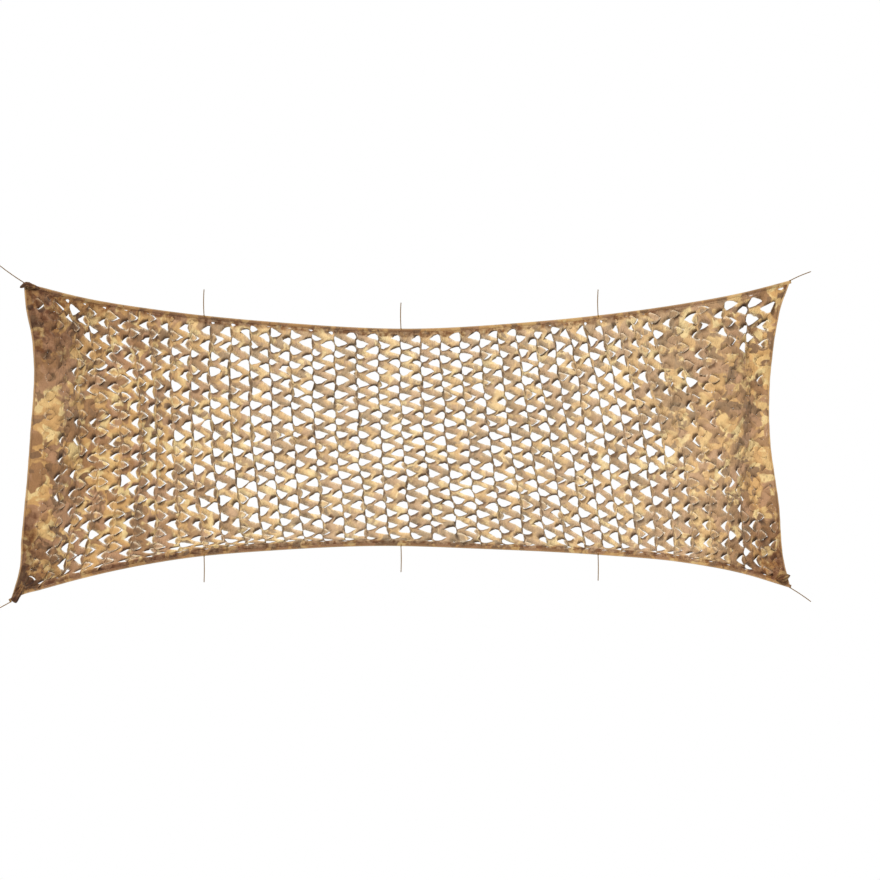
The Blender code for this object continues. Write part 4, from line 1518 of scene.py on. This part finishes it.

# %% [markdown]
# ## Worn cloth
#
# The print is only the start. Sun fades it, dust settles on it, the knife's cuts fray to pale threads and
# hands darken the hems. Painted light and painted shade go on too: a lighter middle, a highlight on the cut
# edges, shade under the ribbons and in the hinge creases. Each is laid over the one before as a colour mixed
# in by one of the marks, so that a change to one leaves the others alone.

# %% Wear of the cloth
FADED_PRINT = linear(214, 186, 148)
PAINTED_LIGHT = (1.12, 1.12, 1.14, 1.0)
PAINTED_PALE_LIGHT = linear(230, 210, 172)
MIDDLE_PAINTED_LIGHT = 0.31
PAINTED_LIGHT_COMES_IN = (-3.3, -1.2)
PAINTED_LIGHT_GOES_OUT = (1.9, 4.3)
DARKENING_BROWN = linear(150, 116, 84)
LEFT_END_DARKENING = 0.11
LEFT_DARKENING_OVER = (-4.0, -2.6)
RIGHT_END_DARKENING = 0.04
RIGHT_DARKENING_OVER = (3.6, 4.1)
DUST = linear(150, 112, 74)
DUST_SHARE = 0.26


def weathered_print(tree, flat, place, wear):
    """The print, faded by the sun and darkened by dust. The stretched middle is painted lighter and paler,
    for the white light that shows through its open gaps; the cloth grows darker towards both ends, most on
    the left."""
    print_colour = use_group(tree, printed_patches, Vector=flat).outputs["Color"]
    fading = math_node(tree, "MULTIPLY_ADD", wear.outputs["Faded"], 0.10, 0.02)
    faded = mix_colours(tree, fading, print_colour, FADED_PRINT)
    x = left_to_right(tree, place)
    coming_in = between(tree, x, 0.0, 1.0, *PAINTED_LIGHT_COMES_IN)
    middle = product(tree, coming_in, between(tree, x, 1.0, 0.0, *PAINTED_LIGHT_GOES_OUT))
    # Painted light: the stretched middle is lightened and paled, for the white light that shows through its
    # gaps
    lightened = mix_colours(tree, middle, faded, PAINTED_LIGHT, "MULTIPLY")
    paled = mix_colours(tree, product(tree, middle, MIDDLE_PAINTED_LIGHT), lightened, PAINTED_PALE_LIGHT)
    # The cloth grows darker towards both ends, most on the left
    left_end = between(tree, x, LEFT_END_DARKENING, 0.0, *LEFT_DARKENING_OVER)
    right_end = between(tree, x, 0.0, RIGHT_END_DARKENING, *RIGHT_DARKENING_OVER)
    ends_darkened = mix_colours(tree, math_node(tree, "MAXIMUM", left_end, right_end), paled, DARKENING_BROWN, "MULTIPLY")
    return mix_colours(tree, product(tree, wear.outputs["Dusty"], DUST_SHARE), ends_darkened, DUST)


# The share of painted light in the middle
print("the middle is bleached by", MIDDLE_PAINTED_LIGHT)

# %% Frayed, handled, and painted shade in the creases
CREAM_FRAY_AND_HIGHLIGHT = linear(240, 222, 192)
PAINTED_SHADE_BROWN = linear(100, 79, 58)
FRAY = 0.0200
FRAY_SCALE = 110.0
FRAY_LIMITS = (0.4 * FRAY, 1.8 * FRAY)
FRAY_SHARE = 0.80
SPECK_SCALE = 16.0
UNDER_SHADE = 0.80
CREASE_SHADE = 0.68


def frayed_and_lit_edges(tree, flat, colour):
    """A pale cream line along every cut that is worked open: partly frayed threads, partly a painted
    highlight where the cut edges catch the light. Its reach follows a fine noise, which makes it ragged, and
    it is left off the ribbon edges that the underside mark paints in shade."""
    reach = between(tree, noise(tree, flat, FRAY_SCALE, 2.0), *FRAY_LIMITS, 0.3, 0.7)
    past_reach = math_node(tree, "DIVIDE", mark(tree, "from_cut"), reach)
    edge = math_node(tree, "SUBTRACT", 1.0, past_reach, clamp=True)
    shade_side = mark(tree, "underside_shade")
    upper_edge = between(tree, shade_side, 1.0, 0.05, 0.0, 0.35)
    # Painted highlight: the cream line stands partly for light caught on the open cut edges
    frayed_and_lit = mix_colours(tree, product(tree, edge, upper_edge, FRAY_SHARE), colour, CREAM_FRAY_AND_HIGHLIGHT)
    # Painted shade along the ribbon edges that the underside mark picks out
    underside = between(tree, shade_side, 0.0, UNDER_SHADE, 0.02, 0.62)
    return mix_colours(tree, underside, frayed_and_lit, PAINTED_SHADE_BROWN, "MULTIPLY")


def soiled_and_crease_shaded(tree, flat, colour):
    """Soil in broken patches near the hems and the handled corners, and a line of painted shade in every
    crease.
    """
    broken = between(tree, noise(tree, flat, SPECK_SCALE, 3.0, Roughness=0.6), 0.35, 0.95, 0.36, 0.64)
    handled = product(tree, between(tree, mark(tree, "near_hem"), 0.0, 1.0, 0.2, 0.9), broken)
    dirty = mix_colours(tree, handled, colour, DARKENING_BROWN, "MULTIPLY")
    # Painted shade: the crease mark darkens the hinge creases, the turned leaves, the long seams and the
    # folds of the rolls
    dark_line = between(tree, mark(tree, "crease_shade"), 0.0, CREASE_SHADE, 0.20, 0.95)
    return mix_colours(tree, dark_line, dirty, PAINTED_SHADE_BROWN, "MULTIPLY")


print("frays up to", round(1000.0 * FRAY_LIMITS[1]), "mm from a cut")

# %% Printed cloth
CLOTH_THREADS = 1100.0
CRUMPLE_SLANT = (0.0, 0.6, 0.0)
CRUMPLES_PER_METRE = (46.0, 30.0, 17.0)


def printed_cloth():
    """Print, fading, dust, a painted lighter middle and darker ends, then frayed cuts with a painted
    highlight, painted shade under the ribbons, soil, and painted shade in the creases. Its surface is two
    bumps: small slanting crumples, which are a noise stretched along one direction, and the weave over them."""
    plain_values = {"Sheen_Weight": 0.06, "Sheen_Roughness": 0.6, "Specular_IOR_Level": 0.25}
    material, tree, shader = new_material("printed_cloth", **plain_values)
    flat = flat_place(tree)
    place = object_place(tree)
    wear = use_group(tree, sun_and_dust, Vector=place, Fine=15.0)
    threads = use_group(tree, woven_threads, Vector=flat, Threads_per_metre=CLOTH_THREADS)
    edged = frayed_and_lit_edges(tree, flat, weathered_print(tree, flat, place, wear))
    crease_shaded = soiled_and_crease_shaded(tree, flat, edged)
    tree.links.new(shaded(tree, crease_shaded, threads.outputs["Shade"]), shader.inputs["Base Color"])
    tree.links.new(between(tree, wear.outputs["Dusty"], 0.72, 0.92), shader.inputs["Roughness"])
    slanted = mapping(tree, place, CRUMPLE_SLANT, CRUMPLES_PER_METRE)
    crumples = noise(tree, slanted, 1.0, 3.0, Roughness=0.55, Distortion=0.6)
    crumpled = add_node(tree, "ShaderNodeBump", {"Height": crumples, "Strength": 0.7, "Distance": 0.020})
    bump(tree, shader, threads.outputs["Height"], 0.35, 0.0004, crumpled.outputs["Normal"])
    return material


cloth_material = printed_cloth()
for piece in [netting] + gathers:
    paint(piece, cloth_material)
print(cloth_material.name, "on the netting and", len(gathers), "rolls")

# %% [markdown]
# ## Tape and cord
#
# The tape is a heavier weave in the same print, darkened by handling. Two rows of stitches go through each
# long tape, and the short ones are wide enough for only one. The dashes follow the tape's own run, so they
# are drawn on its UV, in metres. The cords are tan laid rope, fibrous along the lay, and each melted end is
# brown.

# %% Stitched tape
STITCH_LENGTH = 0.0065
STITCH_ROWS = (0.0065, 0.0235)
STITCH_SHOWS = (0.2, 0.85)
HALF_STITCH = 0.0006
TAPE_THREADS = 600.0
TAPE_SOIL = linear(150, 118, 88)
LEFT_TAPE_SOIL = 0.74
RIGHT_TAPE_SOIL = 0.36
TAPE_SOIL_OVER = (-3.0, 2.0)
TAPE_DUST = linear(120, 88, 60)
TAPE_DUST_SHARE = 0.22
RUBBED_FOLD = linear(206, 172, 124)
RUBBED_SHARE = 0.34
RUBBED_OVER = (0.004, 0.020)
STITCH_THREAD = linear(196, 172, 134)


def stitches(tree, along, depth):
    """1 on a stitch and 0 beside it: dashes in the tape's run, near either of two lines across its width."""
    split = add_node(tree, "ShaderNodeSeparateXYZ", {0: along})
    phase = math_node(tree, "FRACT", math_node(tree, "DIVIDE", split.outputs["X"], STITCH_LENGTH))
    started = math_node(tree, "GREATER_THAN", phase, STITCH_SHOWS[0])
    dash = product(tree, started, math_node(tree, "LESS_THAN", phase, STITCH_SHOWS[1]))
    rows = []
    for row in STITCH_ROWS:
        off = math_node(tree, "ABSOLUTE", math_node(tree, "SUBTRACT", depth, row))
        rows.append(product(tree, math_node(tree, "LESS_THAN", off, HALF_STITCH), dash))
    return math_node(tree, "MAXIMUM", *rows)


def stitched_tape():
    """Darkened print, soiled most on the left, rubbed pale along its fold; a coarse weave; and dashes along
    two lines across the tape."""
    plain_values = {"Sheen_Weight": 0.10, "Sheen_Roughness": 0.5, "Specular_IOR_Level": 0.3}
    material, tree, shader = new_material("stitched_tape", **plain_values)
    along = flat_place(tree)
    place = object_place(tree)
    upright = mapping(tree, place, (math.radians(-90.0), 0.0, 0.0))
    print_colour = use_group(tree, printed_patches, Vector=upright).outputs["Color"]
    wear = use_group(tree, sun_and_dust, Vector=place)
    threads = use_group(tree, woven_threads, Vector=along, Threads_per_metre=TAPE_THREADS)
    soil = between(tree, left_to_right(tree, place), LEFT_TAPE_SOIL, RIGHT_TAPE_SOIL, *TAPE_SOIL_OVER)
    dark = mix_colours(tree, soil, print_colour, TAPE_SOIL, "MULTIPLY")
    handled = mix_colours(tree, product(tree, wear.outputs["Dusty"], TAPE_DUST_SHARE), dark, TAPE_DUST)
    depth = mark(tree, "from_edge")
    rubbed = mix_colours(tree, between(tree, depth, RUBBED_SHARE, 0.0, *RUBBED_OVER), handled, RUBBED_FOLD)
    sewn = stitches(tree, along, depth)
    thread = mix_colours(tree, sewn, rubbed, STITCH_THREAD)
    tree.links.new(shaded(tree, thread, threads.outputs["Shade"]), shader.inputs["Base Color"])
    tree.links.new(between(tree, wear.outputs["Faded"], 0.70, 0.85), shader.inputs["Roughness"])
    raised = math_node(tree, "MULTIPLY_ADD", sewn, 0.8, threads.outputs["Height"])
    bump(tree, shader, raised, 0.5, 0.0006)
    return material


tape_material = stitched_tape()
for tape in tapes:
    paint(tape, tape_material)
print(tape_material.name, "on", len(tapes), "tapes")

# %% Laid rope
DEEP_FIBRE = linear(98, 68, 16)
LIGHT_FIBRE = linear(134, 100, 30)
ROPE_DUST = linear(106, 78, 28)
ROPE_DUST_SHARE = 0.35
MELTED_FIBRE = linear(112, 84, 58)
FIBRE_SLANT = (0.0, 0.0, 0.5)
FIBRES_PER_METRE = (2600.0, 420.0, 1.0)


def laid_rope():
    """Tan fibre: a fine noise stretched aslant along the cord, dust over it, and a brown melted end."""
    material, tree, shader = new_material("laid_rope", Sheen_Weight=0.0, Specular_IOR_Level=0.03)
    wear = use_group(tree, sun_and_dust, Vector=object_place(tree), Broad=6.0, Fine=90.0)
    fibres = noise(tree, mapping(tree, flat_place(tree), FIBRE_SLANT, FIBRES_PER_METRE), 1.0, 3.0)
    clean_fibre = mix_colours(tree, fibres, DEEP_FIBRE, LIGHT_FIBRE)
    dusty = mix_colours(tree, product(tree, wear.outputs["Dusty"], ROPE_DUST_SHARE), clean_fibre, ROPE_DUST)
    melted = mark(tree, "melted")
    end = between(tree, melted, 0.0, 0.9, 0.15, 0.75)
    tree.links.new(mix_colours(tree, end, dusty, MELTED_FIBRE), shader.inputs["Base Color"])
    tree.links.new(between(tree, melted, 0.78, 0.35, 0.3, 0.9), shader.inputs["Roughness"])
    bump(tree, shader, fibres, 0.4, 0.0005)
    return material


rope_material = laid_rope()
for piece in ties + hitches:
    paint(piece, rope_material)
print(rope_material.name, "on", len(ties) + len(hitches), "pieces")

# %% [markdown]
# ## Floor and light
#
# The netting hangs in a plain white room. The floor is a pale disc well below it. A wide soft sun from the
# upper left stands for a large studio lamp, and a weak one from the right fills the shadows. The white of
# the room itself gives the rest, and it is a little dimmer for the light than for the eye, which keeps
# the colours of the cloth deep.

# %% Floor
FLOOR_RADIUS = 9.0
FLOOR_HEIGHT = -5.6
FLOOR_RINGS = 6
FLOOR_SIDES = 72
floor_radii = np.linspace(0.0, FLOOR_RADIUS, FLOOR_RINGS + 1)[1:, None]
floor_turns = np.linspace(0.0, 2.0 * math.pi, FLOOR_SIDES, endpoint=False)
floor_x = floor_radii * np.cos(floor_turns)
floor_y = floor_radii * np.sin(floor_turns)
floor_points = np.stack([floor_x, floor_y, np.full(floor_x.shape, FLOOR_HEIGHT)], axis=-1)
floor_faces = [wall_quads(FLOOR_RINGS, FLOOR_SIDES), np.arange(FLOOR_SIDES)[None]]
floor = make_piece("floor", floor_points.reshape(-1, 3), floor_faces)
print("floor at", FLOOR_HEIGHT, "m")

# %% Floor finish
DARKER_FLOOR = (0.80, 0.79, 0.77, 1.0)
LIGHTER_FLOOR = (0.86, 0.85, 0.83, 1.0)
floor_material, tree, shader = new_material("pale_floor", Roughness=0.9, Specular_IOR_Level=0.2)
floor_colour = mix_colours(tree, noise(tree, object_place(tree), 3.0, 5.0), DARKER_FLOOR, LIGHTER_FLOOR)
tree.links.new(floor_colour, shader.inputs["Base Color"])
paint(floor, floor_material)
print(floor_material.name, "on", floor.name)

# %% Lights
KEY_STRENGTH = 3.45
FILL_STRENGTH = 0.25
SUN_DISTANCE = 12.0


def add_sun(name, turn, height, strength, softness):
    """A sun that shines towards the netting from a turn (degrees right of the front) and a height."""
    data = bpy.data.lights.new(name, "SUN")
    data.energy = strength
    data.angle = math.radians(softness)
    sun = bpy.data.objects.new(name, data)
    turn = math.radians(turn)
    height = math.radians(height)
    level = math.cos(height)
    towards = Vector((math.sin(turn) * level, -math.cos(turn) * level, math.sin(height)))
    sun.rotation_mode = "QUATERNION"
    sun.rotation_quaternion = (-towards).to_track_quat("-Z", "Y")
    sun.location = SUN_DISTANCE * towards
    bpy.context.scene.collection.objects.link(sun)
    return sun


key_light = add_sun("key_light", turn=-38.0, height=40.0, strength=KEY_STRENGTH, softness=10.0)
fill_light = add_sun("fill_light", turn=35.0, height=20.0, strength=FILL_STRENGTH, softness=40.0)
print("lights:", key_light.name, fill_light.name)

# %% The white room
SEEN_WHITE = (1.0, 1.0, 1.0, 1.0)
WARM_WHITE = (1.0, 0.99, 0.975, 1.0)
ROOM_LIGHT = 0.46
world = bpy.data.worlds.new("white_room")
world.use_nodes = True
bpy.context.scene.world = world
walls = world.node_tree
walls.nodes.clear()
seen = add_node(walls, "ShaderNodeBackground", {"Color": SEEN_WHITE, "Strength": 1.0})
lighting = add_node(walls, "ShaderNodeBackground", {"Color": WARM_WHITE, "Strength": ROOM_LIGHT})
ray = add_node(walls, "ShaderNodeLightPath").outputs["Is Camera Ray"]
either = add_node(walls, "ShaderNodeMixShader", {0: ray, 1: lighting.outputs[0], 2: seen.outputs[0]})
add_node(walls, "ShaderNodeOutputWorld", {"Surface": either.outputs[0]})
bpy.context.scene.view_settings.view_transform = "Standard"
print(world.name, "gives", ROOM_LIGHT, "of the light it shows")
